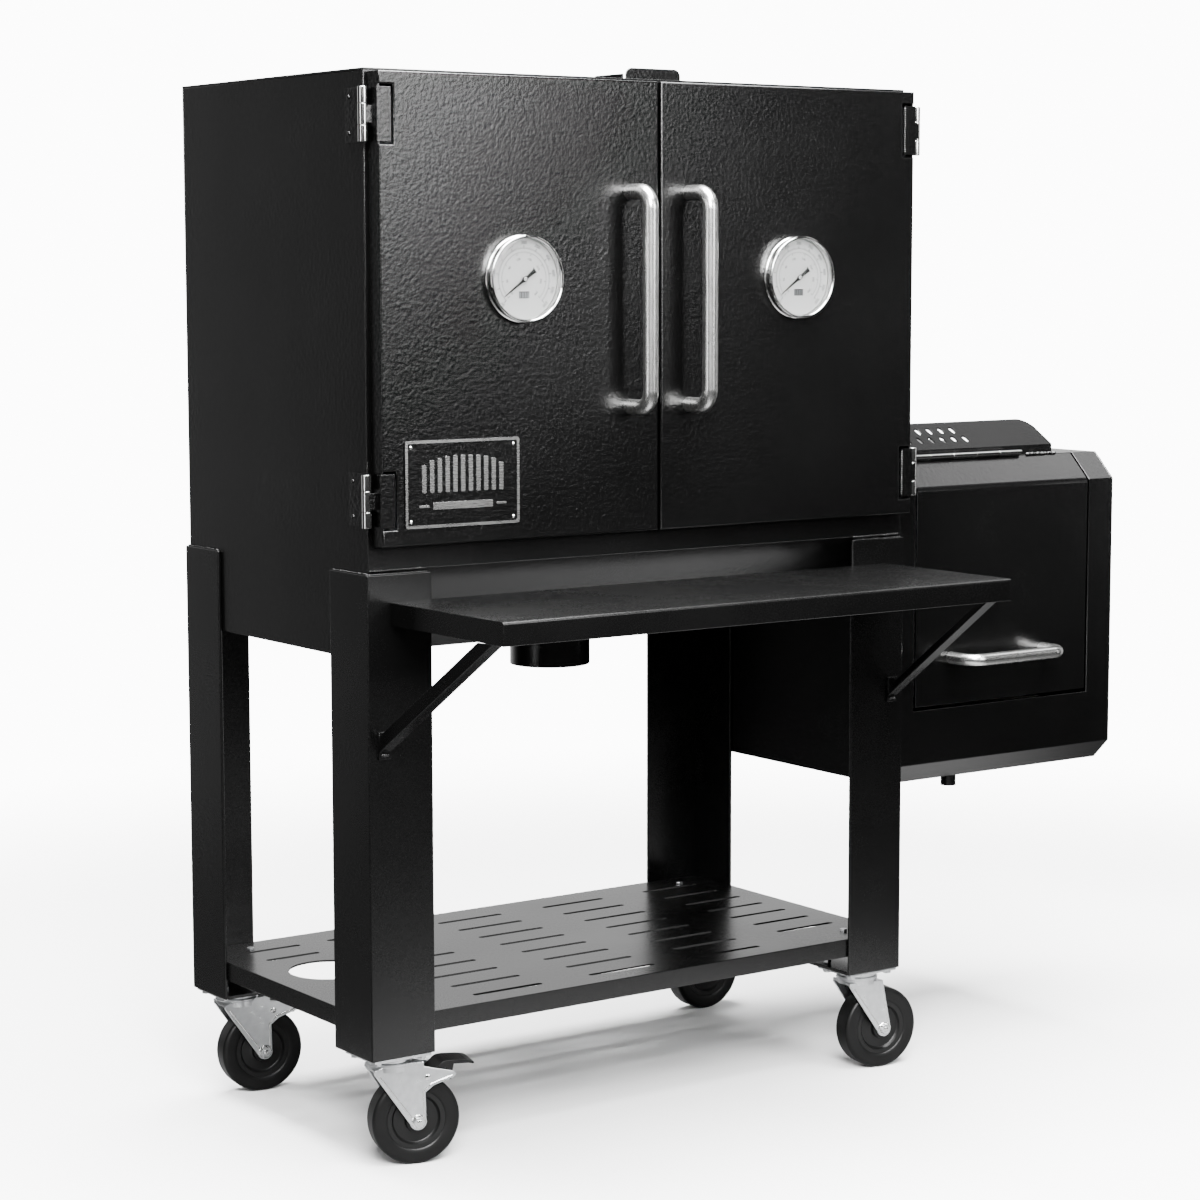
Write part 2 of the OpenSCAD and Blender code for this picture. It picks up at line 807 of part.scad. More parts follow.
module firebox_wrapper() {
    path = [[fb_y0, fb_base + chamfer_base], [fb_y0 + chamfer_base, fb_base], [fb_y1, fb_base],
        [fb_y1, fb_top], [roof_front, fb_top]];
    color(black) place() difference() {
        bent_sheet(path, sheet, fb_x0 + sheet, fb_x1 - sheet);
        rod([stub_x, stub_y, fb_base - 1], stub_r - 3, sheet + 2);
        block([fb_x0, fb_y0 - 1, fb_base + chamfer_base], [fb_x1, fb_y0 + 40, fb_base + chamfer_base + 10]);
    }
}

module firebox_front_frame() {
    path = concat(fb_profile, [[roof_front, fb_top]]);
    color(black) place() difference() {
        bent_sheet(path, -sheet, fb_x0 + sheet, fb_x1 - sheet);
        block([fb_door_x0 - fb_door_gap, fb_y0 - 1, fb_door_base - fb_door_gap - 2],
            [fb_door_x1 + fb_door_gap, roof_front + 1, fb_top + 1]);
        block([fb_x0, fb_y0 - 1, fb_base], [fb_x1, fb_y0 + 40, fb_base + chamfer_base]);
    }
}

door_profile = [[fb_y0, fb_door_base], [fb_y0, fb_top - chamfer_top], [fb_y0 + chamfer_top, fb_top]];

module firebox_door_skin() {
    color(black) place() bent_sheet(door_profile, -sheet, fb_door_x0, fb_door_x1);
}

// A shallow inner pan behind the door's skin, closed all round
module firebox_door_liner() {
    inner = beside(door_profile, -sheet);
    deep = beside(door_profile, -fb_door_t);
    outline = [inner[0] + [0, 12], inner[1], inner[2] - [8, 8], deep[2] - [8, 8], deep[1], deep[0] + [0, 12]];
    color([0.3, 0.3, 0.3]) place() along_x(fb_door_x0 + 12, fb_door_x1 - 12) polygon(outline);
}

skin_top = door_profile[2];
fb_web = 2.5;  // foot of the web that joins a knuckle to the door's upper slope

module firebox_door_hinge() {
    color(steel) place() for (i = [1 : 2 : fb_knuckles - 1]) {
        x = fb_knuckle_x + i * fb_knuckle;
        difference() {
            union() {
                fb_barrel(i) cylinder(r = fb_hinge_r, h = fb_knuckle - gap);
                along_x(x, x + fb_knuckle - gap)
                    polygon([[fb_hinge_y - 3, fb_hinge_z - 2], [fb_hinge_y + 1, fb_hinge_z - 3.5],
                        skin_top, skin_top - [fb_web, fb_web]]);
            }
            fb_barrel(i) translate([0, 0, -1]) cylinder(r = fb_pin_r + run, h = fb_knuckle + 2);
        }
    }
}

fb_handle_r = 9.5;
fb_handle_span = 194;
fb_handle_x = (fb_door_x0 + fb_door_x1) / 2 - 12;

module firebox_handle() {
    color(steel) place() translate([fb_handle_x - fb_handle_span / 2, fb_y0, fb_handle_z])
        rotate([0, 90, 0]) u_handle(fb_handle_r, fb_handle_span, handle_reach);
}

rest_x0 = fb_door_x0 + 5;
rest_x1 = fb_door_x1 - 17;

rest_rise = 52;

// The plate that the opened firebox door leans on, with two rows of plain slots
module rest_plate() {
    y = fb_hinge_y + 27;
    path = [[y + 26, fb_top], [y, fb_top], [y, fb_top + 14], [y + 62, fb_top + rest_rise]];
    color(black) place() difference() {
        bent_sheet(path, -2.5, rest_x0, rest_x1);
        for (row = [0, 1], i = [0 : 5])
            translate([rest_x0 + 38 + i * 24 + row * 10, y + 35 - row * 21, fb_top])
                linear_extrude(60) rounded_rect(7, 15, 3.49);
        translate([rest_x1 - 24, y + 38, fb_top]) linear_extrude(60) difference() {
            square(40);
            circle(24);
        }
    }
}

grate_z = 520;
grate_bars = 12;

module fire_grate() {
    x0 = fb_x0 + sheet + 6;
    x1 = fb_x1 - sheet - 6;
    y0 = fb_y0 + 40;
    y1 = fb_y1 - sheet - 6;
    color([0.25, 0.25, 0.25]) place() {
        for (i = [0 : grate_bars]) {
            y = y0 + i * (y1 - y0 - 10) / grate_bars;
            block([x0, y, grate_z], [x1, y + 10, grate_z + 10]);
        }
        for (x = [x0 + 60, x1 - 72]) block([x, y0, fb_base + sheet], [x + 12, y1, grate_z]);
    }
}

// ---- casters, drawn round the swivel axis and trailing towards +X ----

raceway_r = 30;
kingpin_r = 6;
kingpin_drop = 8;

module caster_plate() {
    difference() {
        union() {
            block([-46, -40, plate_base], [46, 40, leg_base]);
            translate([0, 0, crown_top + gap]) cylinder(r = raceway_r, h = plate_base - crown_top - gap);
        }
        for (x = [-1, 1], y = [-1, 1])
            rod([x * bolt_pitch_x / 2, y * bolt_pitch_y / 2, plate_base - 1], bolt_r + bolt_gap, 10);
    }
    translate([0, 0, crown_top - crown_t - kingpin_drop / 2]) {
        cylinder(r = kingpin_r, h = crown_t + kingpin_drop);
        cylinder(r = kingpin_r + 2, h = kingpin_drop / 2 - gap);
    }
}

// Moves to the swivel axis of corner i's caster, which never turns a caster over
module over_caster(i) {
    x = i % 2 ? cab_w - caster_inset_x : caster_inset_x;
    y = floor(i / 2) ? cab_d - caster_inset_y : caster_inset_y;
    translate([x, y, 0]) children();
}

// How far each caster is turned on its swivel, clockwise from above
caster_turn = [15, 8, 8, 0];

module at_caster(i) {
    over_caster(i) rotate(-caster_turn[i]) children();
}

module caster_plates() {
    color(steel) place() for (i = [0 : 3]) over_caster(i) caster_plate();
}

cheek_y = fork_gap / 2;
cheek_low_r = 12;
cheek_back = 28;
pedal_x = 62;
pedal_z = 128;
pedal_pin_r = 3;

// One side of a fork; a braked one has an arm that reaches out over the wheel
module cheek(braked) {
    low = crown_top - crown_t;
    side = trail + cheek_low_r;
    end = braked ? [[side - 1, 104], [side + 11, 113], [pedal_x + 26, 122], [pedal_x + 29, 127],
            [pedal_x + 26, 131], [side - 3, low + 4], [side - 3, crown_top - 1], [0, crown_top - 1]]
        : [[side - 12, low - 8], [side - 15, low + 4]];
    rotate([90, 0, 0]) linear_extrude(fork_t) difference() {
        union() {
            polygon(concat([[-cheek_back, low + 4], [-cheek_back, low - 2],
                [trail - 0.95 * cheek_low_r, wheel_r - 4], [side, wheel_r]], end));
            translate([trail, wheel_r]) circle(cheek_low_r);
        }
        translate([trail, wheel_r]) circle(axle_r);
        if (braked) translate([pedal_x, pedal_z]) circle(pedal_pin_r);
    }
}

module fork(braked) {
    difference() {
        union() {
            translate([0, 0, crown_top - crown_t]) cylinder(r = raceway_r, h = crown_t);
            block([-cheek_back, -cheek_y - fork_t, crown_top - crown_t],
                [raceway_r, cheek_y + fork_t, crown_top - crown_t + 4]);
        }
        rod([0, 0, crown_top - crown_t - 1], kingpin_r + run, crown_t + 2);
        translate([0, 0, crown_top - crown_t - 1]) cylinder(r = kingpin_r + 3, h = 1 + 0.01);
    }
    for (y = [cheek_y + fork_t, -cheek_y]) translate([0, y, 0]) cheek(braked);
    rod([trail, cheek_y + fork_t + 1, wheel_r], axle_r, fork_gap + 2 * fork_t + 2, [90, 0, 0]);
    for (side = [-1, 1]) translate([trail, side * (cheek_y + fork_t), wheel_r])
        rotate([side * -90, 0, 0]) hex_head(8.5, 6);
    if (braked) rod([pedal_x, cheek_y + fork_t, pedal_z], pedal_pin_r, fork_gap + 2 * fork_t, [90, 0, 0]);
}

module fork_front_left() { color(steel) place() at_caster(0) fork(true); }
module fork_front_right() { color(steel) place() at_caster(1) fork(false); }
module fork_rear_left() { color(steel) place() at_caster(2) fork(true); }
module fork_rear_right() { color(steel) place() at_caster(3) fork(false); }

tyre_round = 5;
hub_r = 15;

recess = 7;

// Half outline of a wheel's section, from its axle bore out to its tread
function wheel_half(w, bore, round_w) = concat(
    [[bore, cheek_y - 1], [hub_r, cheek_y - 1], [hub_r + 2, w - recess], [wheel_r * 0.6, w - recess],
        [wheel_r * 0.64, w - 2], [wheel_r * 0.7, w - 1.5], [wheel_r * 0.72, w]],
    [for (a = [90 : -15 : 0]) [wheel_r - round_w, w - round_w] + round_w * [cos(a), sin(a)]]);

module wheel_section() {
    half = wheel_half(wheel_w / 2, axle_r + run, tyre_round);
    polygon(concat(half, [for (p = reversed(half)) [p[0], -p[1]]]));
}

module wheel() {
    translate([trail, 0, wheel_r]) rotate([90, 0, 0]) rotate_extrude($fn = 96) wheel_section();
}

module wheel_front_left() { color([0.05, 0.05, 0.05]) place() at_caster(0) wheel(); }
module wheel_front_right() { color([0.05, 0.05, 0.05]) place() at_caster(1) wheel(); }
module wheel_rear_left() { color([0.05, 0.05, 0.05]) place() at_caster(2) wheel(); }
module wheel_rear_right() { color([0.05, 0.05, 0.05]) place() at_caster(3) wheel(); }

pedal_w = fork_gap - 3;
pedal_side = [[0, 4.5], [7, 14], [16, 17.5], [54, 14.5], [57, 11.5], [52, 10], [26, 11], [23, -10], [18, -10],
    [14, 8], [4.5, 0]];

// Brake pedal: a hub on the pivot, a brake shoe, and a tread that reaches out over the wheel
module pedal() {
    translate([pedal_x, 0, pedal_z]) rotate([90, 0, 0]) translate([0, 0, -pedal_w / 2]) difference() {
        union() {
            cylinder(r = 6, h = pedal_w);
            linear_extrude(pedal_w) polygon(pedal_side);
        }
        translate([0, 0, -1]) cylinder(r = pedal_pin_r + run, h = pedal_w + 2);
    }
}

module pedal_front_left() { color("black") place() at_caster(0) pedal(); }
module pedal_rear_left() { color("black") place() at_caster(2) pedal(); }

cabinet_left_wall();
cabinet_right_wall();
cabinet_back_wall();
cabinet_roof();
cabinet_floor();
cabinet_front_frame();
door_gasket();
rack_rails();
cooking_racks();
water_pan();
drain_outlets();
damper_guides();
exhaust_damper();
leg_front_left();
leg_front_right();
leg_rear_left();
leg_rear_right();
leg_base_plates();
bottom_shelf();
front_shelf();
shelf_braces();
bolts();
cabinet_hinges();
left_door_skin();
left_door_liner();
left_door_hinges();
left_handle();
left_thermometer();
left_glass();
left_pointer();
badge();
right_door_skin();
right_door_liner();
right_door_hinges();
right_handle();
right_thermometer();
right_glass();
right_pointer();
firebox_left_wall();
firebox_right_wall();
firebox_wrapper();
firebox_front_frame();
firebox_door_skin();
firebox_door_liner();
firebox_door_hinge();
firebox_handle();
rest_plate();
fire_grate();
air_damper();
caster_plates();
fork_front_left();
fork_front_right();
fork_rear_left();
fork_rear_right();
wheel_front_left();
wheel_front_right();
wheel_rear_left();
wheel_rear_right();
pedal_front_left();
pedal_rear_left();
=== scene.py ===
# Offset smoker: finishes, rounded edges, welds, dials, hinges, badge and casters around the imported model
import json
import math

import bmesh
import bpy
from mathutils import Matrix, Vector, noise


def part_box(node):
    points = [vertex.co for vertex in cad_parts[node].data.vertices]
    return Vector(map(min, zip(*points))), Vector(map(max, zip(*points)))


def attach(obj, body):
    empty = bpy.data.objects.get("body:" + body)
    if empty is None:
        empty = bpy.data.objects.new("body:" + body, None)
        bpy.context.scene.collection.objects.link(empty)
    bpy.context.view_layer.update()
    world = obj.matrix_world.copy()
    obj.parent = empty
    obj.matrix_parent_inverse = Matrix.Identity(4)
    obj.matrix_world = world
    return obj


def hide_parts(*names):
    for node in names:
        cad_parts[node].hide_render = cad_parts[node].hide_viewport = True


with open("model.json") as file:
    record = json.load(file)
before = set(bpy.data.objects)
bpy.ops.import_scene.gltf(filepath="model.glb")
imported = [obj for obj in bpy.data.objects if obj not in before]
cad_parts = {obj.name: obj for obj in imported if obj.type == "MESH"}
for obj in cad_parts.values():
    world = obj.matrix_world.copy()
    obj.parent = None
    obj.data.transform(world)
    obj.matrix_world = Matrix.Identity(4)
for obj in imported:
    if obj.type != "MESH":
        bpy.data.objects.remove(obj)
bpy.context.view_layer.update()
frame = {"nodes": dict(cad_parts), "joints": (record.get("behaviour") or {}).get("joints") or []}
mm = 0.001
nodes = frame["nodes"]
joints = {joint["name"]: joint for joint in frame["joints"]}
# a fixed seed, because the weld lumps' noise is otherwise seeded from the clock
noise.seed_set(7)


def jointPoint(name):
    return Vector(joints[name]["pos_m"])


# ---------- shader sums ----------


class Wire:
    # a socket that plain sums can be written with
    def __init__(self, finish, socket):
        self.finish = finish
        self.socket = socket

    def sum(self, operation, a, b):
        return self.finish.add("ShaderNodeMath", {"operation": operation}, {0: a, 1: b})

    def __add__(self, other):
        return self.sum("ADD", self, other)

    def __sub__(self, other):
        return self.sum("SUBTRACT", self, other)

    def __rsub__(self, other):
        return self.sum("SUBTRACT", other, self)

    def __mul__(self, other):
        return self.sum("MULTIPLY", self, other)

    def __pow__(self, other):
        return self.sum("POWER", self, other)

    __radd__ = __add__
    __rmul__ = __mul__


class Finish:
    # one material, with its Principled shader
    def __init__(self, name, **uniform):
        self.material = bpy.data.materials.new(name)
        self.material.use_nodes = True
        self.tree = self.material.node_tree
        self.shader = self.tree.nodes["Principled BSDF"]
        for key, value in uniform.items():
            self.put(key.replace("_", " "), value)

    def add(self, kind, settings=None, inputs=None, output=0):
        node = self.tree.nodes.new(kind)
        for key, value in (settings or {}).items():
            if key == "stops":
                ramp = node.color_ramp
                ramp.elements[0].position, ramp.elements[1].position = value[0][0], value[-1][0]
                ramp.elements[0].color = (*[value[0][1]] * 3, 1)
                ramp.elements[1].color = (*[value[-1][1]] * 3, 1)
                for place, grey in value[1:-1]:
                    ramp.elements.new(place).color = (*[grey] * 3, 1)
            else:
                setattr(node, key, value)
        for key, value in (inputs or {}).items():
            if isinstance(value, Wire):
                self.tree.links.new(value.socket, node.inputs[key])
            else:
                node.inputs[key].default_value = value
        return Wire(self, node.outputs[output])

    def put(self, key, value):
        if isinstance(value, Wire):
            self.tree.links.new(value.socket, self.shader.inputs[key])
        elif key == "Base Color":
            self.shader.inputs[key].default_value = (*value, 1)
        else:
            self.shader.inputs[key].default_value = value

    def noise(self, scale, detail=2.0, stretch=(1, 1, 1), roughness=0.5):
        place = self.add("ShaderNodeTexCoord", output="Object")
        if stretch != (1, 1, 1):
            place = self.add("ShaderNodeMapping", {}, {"Vector": place, "Scale": stretch})
        return self.add("ShaderNodeTexNoise", {},
                        {"Vector": place, "Scale": scale, "Detail": detail, "Roughness": roughness})

    def ramp(self, value, *stops):
        return self.add("ShaderNodeValToRGB", {"stops": stops}, {"Fac": value})

    def mix(self, factor, a, b):
        return self.add("ShaderNodeMix", {"data_type": "RGBA"}, {0: factor, 6: (*a, 1), 7: (*b, 1)}, 2)

    def bump(self, height, depth, strength=1.0):
        self.put("Normal", self.add("ShaderNodeBump", {},
                                    {"Height": height, "Distance": depth, "Strength": strength}))
        return self


# ---------- finishes ----------

paintLook = {
    "base": (0.0003, 0.0003, 0.0003),
    "dust": (0.0007, 0.0007, 0.0007),
    "grain": 180.0,      # leathery peel, about 5 mm
    "fineGrain": 900.0,
}


def powderCoat(name, depth, gloss):
    coat = Finish(name, IOR=1.5)
    peel = coat.noise(paintLook["grain"], 3.0)
    fine = coat.noise(paintLook["fineGrain"], 2.0)
    cloud = coat.noise(5.0, 3.0)
    coat.put("Base Color", coat.mix(cloud, paintLook["base"], paintLook["dust"]))
    coat.put("Roughness", gloss + 0.1 * (cloud - 0.5) + 0.06 * (fine - 0.5))
    return coat.bump(0.75 * peel + 0.25 * fine, depth)


def brushedSteel(name, colour, rough, stretch, depth):
    steel = Finish(name, Metallic=1.0)
    lines = steel.noise(1400.0, 3.0, stretch)
    cloud = steel.noise(30.0, 3.0)
    steel.put("Base Color", steel.mix(cloud, colour, tuple(0.9 * c for c in colour)))
    steel.put("Roughness", rough + 0.12 * (lines - 0.5) + 0.06 * (cloud - 0.5))
    return steel.bump(lines, depth)


def zincPlate():
    zinc = Finish("zincPlate", Metallic=1.0)
    bloom = zinc.noise(90.0, 4.0)
    speck = zinc.noise(700.0, 2.0)
    zinc.put("Base Color", zinc.mix(bloom, (0.8, 0.81, 0.82), (0.5, 0.51, 0.52)))
    zinc.put("Roughness", 0.2 + 0.16 * bloom + 0.05 * speck)
    return zinc.bump(bloom + 0.3 * speck, 0.00007)


def hardRubber():
    rubber = Finish("hardRubber", Specular_IOR_Level=0.22)
    cloud = rubber.noise(40.0, 4.0)
    grit = rubber.noise(1500.0, 2.0)
    rubber.put("Base Color", rubber.mix(cloud, (0.001, 0.001, 0.001), (0.003, 0.003, 0.003)))
    rubber.put("Roughness", 0.3 + 0.14 * cloud + 0.08 * grit)
    return rubber.bump(cloud + 0.5 * grit, 0.00005)


def mouldedPlastic():
    plastic = Finish("mouldedPlastic", Specular_IOR_Level=0.3)
    spark = plastic.noise(1200.0, 2.0)
    plastic.put("Base Color", plastic.mix(spark, (0.001, 0.001, 0.001), (0.003, 0.003, 0.003)))
    plastic.put("Roughness", 0.34 + 0.14 * spark)
    return plastic.bump(spark, 0.00005)


def castIron():
    iron = Finish("castIron", Metallic=0.4)
    pits = iron.noise(260.0, 5.0)
    iron.put("Base Color", iron.mix(pits, (0.03, 0.028, 0.026), (0.075, 0.07, 0.066)))
    iron.put("Roughness", 0.55 + 0.3 * pits)
    return iron.bump(pits, 0.0004)


def wovenGasket():
    rope = Finish("wovenGasket", Roughness=0.95)
    weave = rope.noise(420.0, 2.0, (1, 1, 0.35))
    rope.put("Base Color", rope.mix(weave, (0.02, 0.02, 0.02), (0.07, 0.068, 0.065)))
    return rope.bump(weave, 0.0008)


def dialPaper():
    paper = Finish("dialPaper", Roughness=0.42)
    cloud = paper.noise(20.0, 3.0)
    paper.put("Base Color", paper.mix(cloud, (0.86, 0.86, 0.85), (0.9, 0.9, 0.895)))
    return paper.bump(paper.noise(2500.0), 0.00001)


def dialInk():
    ink = Finish("dialInk")
    cloud = ink.noise(900.0, 2.0)
    ink.put("Base Color", ink.mix(cloud, (0.012, 0.012, 0.012), (0.03, 0.03, 0.03)))
    ink.put("Roughness", 0.4 + 0.2 * cloud)
    return ink


def clearGlass():
    glass = Finish("clearGlass", IOR=1.45, Transmission_Weight=1.0)
    smear = glass.noise(60.0, 3.0)
    glass.put("Base Color", glass.mix(smear, (1.0, 1.0, 1.0), (0.97, 0.98, 0.98)))
    glass.put("Roughness", 0.02 * smear)
    return glass


finishes = {
    "doorCoat": powderCoat("doorCoat", 0.00065, 0.23),
    "bodyCoat": powderCoat("bodyCoat", 0.0003, 0.25),
    "frameCoat": powderCoat("frameCoat", 0.0001, 0.27),
    "weldCoat": powderCoat("weldCoat", 0.0001, 0.22),
    "satinStainless": brushedSteel("satinStainless", (0.66, 0.66, 0.65), 0.27, (1, 1, 0.02), 0.00003),
    "satinStainlessAcross": brushedSteel("satinStainlessAcross", (0.66, 0.66, 0.65), 0.27,
                                         (0.02, 1, 1), 0.00003),
    "polishedSteel": brushedSteel("polishedSteel", (0.78, 0.78, 0.77), 0.14, (1, 1, 0.3), 0.000008),
    "millSteel": brushedSteel("millSteel", (0.4, 0.4, 0.41), 0.34, (1, 0.1, 1), 0.00002),
    "galvanised": brushedSteel("galvanised", (0.42, 0.43, 0.44), 0.4, (1, 1, 0.15), 0.00003),
    "zincPlate": zincPlate(),
    "hardRubber": hardRubber(),
    "mouldedPlastic": mouldedPlastic(),
    "castIron": castIron(),
    "wovenGasket": wovenGasket(),
    "dialPaper": dialPaper(),
    "dialInk": dialInk(),
    "clearGlass": clearGlass(),
}
print("finishes made:", len(finishes))


# ---------- mesh tools ----------


def toPiece(name, work, body, finish, replaced=(), crease=38, place=None):
    # turns a bmesh into a piece of the smoker, with flat faces kept flat between rounded edges
    if place is not None:
        bmesh.ops.transform(work, matrix=place, verts=work.verts)
    bmesh.ops.recalc_face_normals(work, faces=work.faces)
    for face in work.faces:
        face.smooth = True
    for edge in work.edges:
        edge.smooth = len(edge.link_faces) != 2 or edge.calc_face_angle() < math.radians(crease)
    mesh = bpy.data.meshes.new(name)
    work.to_mesh(mesh)
    work.free()
    obj = bpy.data.objects.new(name, mesh)
    bpy.context.scene.collection.objects.link(obj)
    mesh.materials.append(finishes[finish].material)
    weighted = obj.modifiers.new("flatFaces", "WEIGHTED_NORMAL")
    weighted.keep_sharp = True
    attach(obj, body)
    if replaced:
        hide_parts(*replaced)
    return obj


def roundEdges(work, radius, choose=None, angle=38, shortest=4.0, segments=3):
    picked = [e for e in work.edges if len(e.link_faces) == 2 and e.is_convex
              and e.calc_face_angle() > math.radians(angle) and e.calc_length() > shortest * mm
              and (choose is None or choose(e))]
    if picked:
        bmesh.ops.bevel(work, geom=picked, offset=radius * mm, offset_type="OFFSET", segments=segments,
                        profile=0.5, affect="EDGES", clamp_overlap=False)


def nodeMesh(node):
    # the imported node's own mesh, with its triangles joined into flat faces
    work = bmesh.new()
    work.from_mesh(nodes[node].data)
    bmesh.ops.remove_doubles(work, verts=work.verts, dist=0.01 * mm)
    bmesh.ops.dissolve_limit(work, angle_limit=math.radians(0.5), verts=work.verts, edges=work.edges)
    return work


def softened(node, radius, finish, body="smoker", first=None, shortest=4.0):
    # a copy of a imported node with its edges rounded; first = (edge test, larger radius)
    work = nodeMesh(node)
    if first:
        roundEdges(work, first[1], first[0], shortest=shortest)
        roundEdges(work, radius, lambda e: not first[0](e), angle=60, shortest=shortest)
    else:
        roundEdges(work, radius, shortest=shortest)
    return toPiece(node + "_finished", work, body, finish, [node])


def withoutBarrel(node, centre, along, radius, rounding, finish, body):
    # a hinge leaf's piece without its packed knuckles, which the bright knuckles stand for
    work = nodeMesh(node)
    across = [i for i in range(3) if i != along]
    reach = (radius + 0.05) * mm
    barrel = [f for f in work.faces
              if all(math.hypot(*(v.co[i] - centre[i] for i in across)) < reach for v in f.verts)]
    bmesh.ops.delete(work, geom=barrel, context="FACES")
    roundEdges(work, rounding, shortest=2.5)
    return toPiece(node + "_finished", work, body, finish, [node])


def addBox(work, low, high, radius=0.0, segments=2):
    corners = [Vector((x, y, z)) for x in (low[0], high[0]) for y in (low[1], high[1])
               for z in (low[2], high[2])]
    made = bmesh.ops.convex_hull(work, input=[work.verts.new(c) for c in corners])
    faces = [g for g in made["geom"] if isinstance(g, bmesh.types.BMFace)]
    edges = list({e for f in faces for e in f.edges})
    bmesh.ops.dissolve_limit(work, angle_limit=0.01, verts=list({v for f in faces for v in f.verts}),
                             edges=edges)
    if radius:
        fresh = [e for e in work.edges if all(inside(v.co, low, high) for v in e.verts)]
        bmesh.ops.bevel(work, geom=fresh, offset=radius, offset_type="OFFSET", segments=segments,
                        profile=0.5, affect="EDGES", clamp_overlap=True)


def inside(point, low, high):
    return all(low[i] - 1e-7 <= point[i] <= high[i] + 1e-7 for i in range(3))


def addTube(work, points, radius, sides=24):
    # a closed tube along points; radius is a number or a function of the ring's index
    rings = []
    side = None
    for i, point in enumerate(points):
        ahead = points[min(i + 1, len(points) - 1)] - points[max(i - 1, 0)]
        ahead.normalize()
        if side is None:
            side = ahead.orthogonal().normalized()
        side = (side - ahead * side.dot(ahead)).normalized()
        up = ahead.cross(side)
        r = radius(i) if callable(radius) else radius
        rings.append([work.verts.new(point + r * (math.cos(t) * side + math.sin(t) * up))
                      for t in [2 * math.pi * k / sides for k in range(sides)]])
    for a, b in zip(rings, rings[1:]):
        for k in range(sides):
            work.faces.new((a[k], a[(k + 1) % sides], b[(k + 1) % sides], b[k]))
    work.faces.new(rings[0][::-1])
    work.faces.new(rings[-1])


def addLathe(work, outline, place, segments=64):
    # turns an outline of (radius, height) round the local Z axis; a closed outline gives a ring
    closed = outline[0] == outline[-1]
    points = outline[:-1] if closed else outline
    rings = []
    for radius, height in points:
        if radius < 1e-7:
            rings.append([work.verts.new(place @ Vector((0, 0, height)))])
        else:
            rings.append([work.verts.new(place @ Vector((radius * math.cos(t), radius * math.sin(t), height)))
                          for t in [2 * math.pi * k / segments for k in range(segments)]])
    pairs = list(zip(rings, rings[1:])) + ([(rings[-1], rings[0])] if closed else [])
    for a, b in pairs:
        for k in range(segments):
            j = (k + 1) % segments
            if len(a) > 1 and len(b) > 1:
                work.faces.new((a[k], a[j], b[j], b[k]))
            elif len(a) > 1:
                work.faces.new((a[k], a[j], b[0]))
            elif len(b) > 1:
                work.faces.new((a[0], b[j], b[k]))


def addSlab(work, outline, z0, z1, place, radius=0.0):
    # a flat plate with that outline between two heights
    base = [work.verts.new(place @ Vector((x, y, z0))) for x, y in outline]
    top = [work.verts.new(place @ Vector((x, y, z1))) for x, y in outline]
    faces = [work.faces.new(base[::-1]), work.faces.new(top)]
    count = len(outline)
    for k in range(count):
        work.faces.new((base[k], base[(k + 1) % count], top[(k + 1) % count], top[k]))
    if radius:
        bmesh.ops.bevel(work, geom=list(faces[1].edges), offset=radius, offset_type="OFFSET", segments=2,
                        profile=0.5, affect="EDGES", clamp_overlap=True)


def roundedOutline(width, height, radius, steps=6):
    # counter-clockwise outline of a rounded rectangle round the origin
    points = []
    for cx, cy, start in ((1, 1, 0), (-1, 1, 90), (-1, -1, 180), (1, -1, 270)):
        for k in range(steps + 1):
            t = math.radians(start + 90 * k / steps)
            points.append((cx * (width / 2 - radius) + radius * math.cos(t),
                           cy * (height / 2 - radius) + radius * math.sin(t)))
    return points


def weldBead(name, start, end, radius, body="smoker", pitch=3.2, finish="weldCoat"):
    # a run of overlapping weld drops, sunk halfway into its seam
    start, end = Vector(start), Vector(end)
    length = (end - start).length
    count = max(6, int(length / (pitch * mm) * 4))
    points = []
    for i in range(count + 1):
        t = i / count
        point = start.lerp(end, t)
        wobble = noise.noise_vector(point * 190) * radius * 0.28 * mm
        points.append(point + wobble)

    def swell(i):
        beat = abs(math.sin(math.pi * i / 4.0))
        lump = noise.noise(points[i] * 90)
        cap = min(1.0, 0.45 + 0.2 * min(i, count - i))
        return radius * mm * cap * (0.72 + 0.3 * beat + 0.35 * lump)

    work = bmesh.new()
    addTube(work, points, swell, 10)
    return toPiece(name, work, body, finish, crease=80)


# ---------- cabinet, firebox and frame ----------

edgeRadius = {"sheet": 1.0, "leg": 1.8, "door": 2.6, "shelf": 2.2, "damper": 0.7, "thin": 0.5}


def onPlane(axis, value, slack=0.3):
    # picks edges that lie in one plane
    return lambda e: all(abs(v.co[axis] - value) < slack * mm for v in e.verts)


for node in ["cabinet_left_wall", "cabinet_right_wall", "cabinet_back_wall", "cabinet_roof",
             "cabinet_floor", "cabinet_front_frame"]:
    softened(node, edgeRadius["sheet"], "bodyCoat")
for node in ["firebox_left_wall", "firebox_right_wall", "firebox_wrapper", "firebox_front_frame"]:
    softened(node, edgeRadius["sheet"], "bodyCoat")
softened("firebox_door_skin", edgeRadius["sheet"], "bodyCoat", "firebox_door",
         first=(lambda e: e.calc_length() > 200 * mm and 20 < math.degrees(e.calc_face_angle()) < 60, 5.0))
for node in ["leg_front_left", "leg_front_right", "leg_rear_left", "leg_rear_right"]:
    softened(node, edgeRadius["leg"], "frameCoat")
softened("leg_base_plates", 1.0, "frameCoat")
softened("bottom_shelf", 1.2, "frameCoat", shortest=9.0)
softened("front_shelf", 1.2, "frameCoat", shortest=9.0)
softened("shelf_braces", 0.9, "frameCoat")
softened("rest_plate", 0.8, "bodyCoat")
softened("drain_outlets", 0.8, "bodyCoat")
softened("damper_guides", edgeRadius["damper"], "bodyCoat")
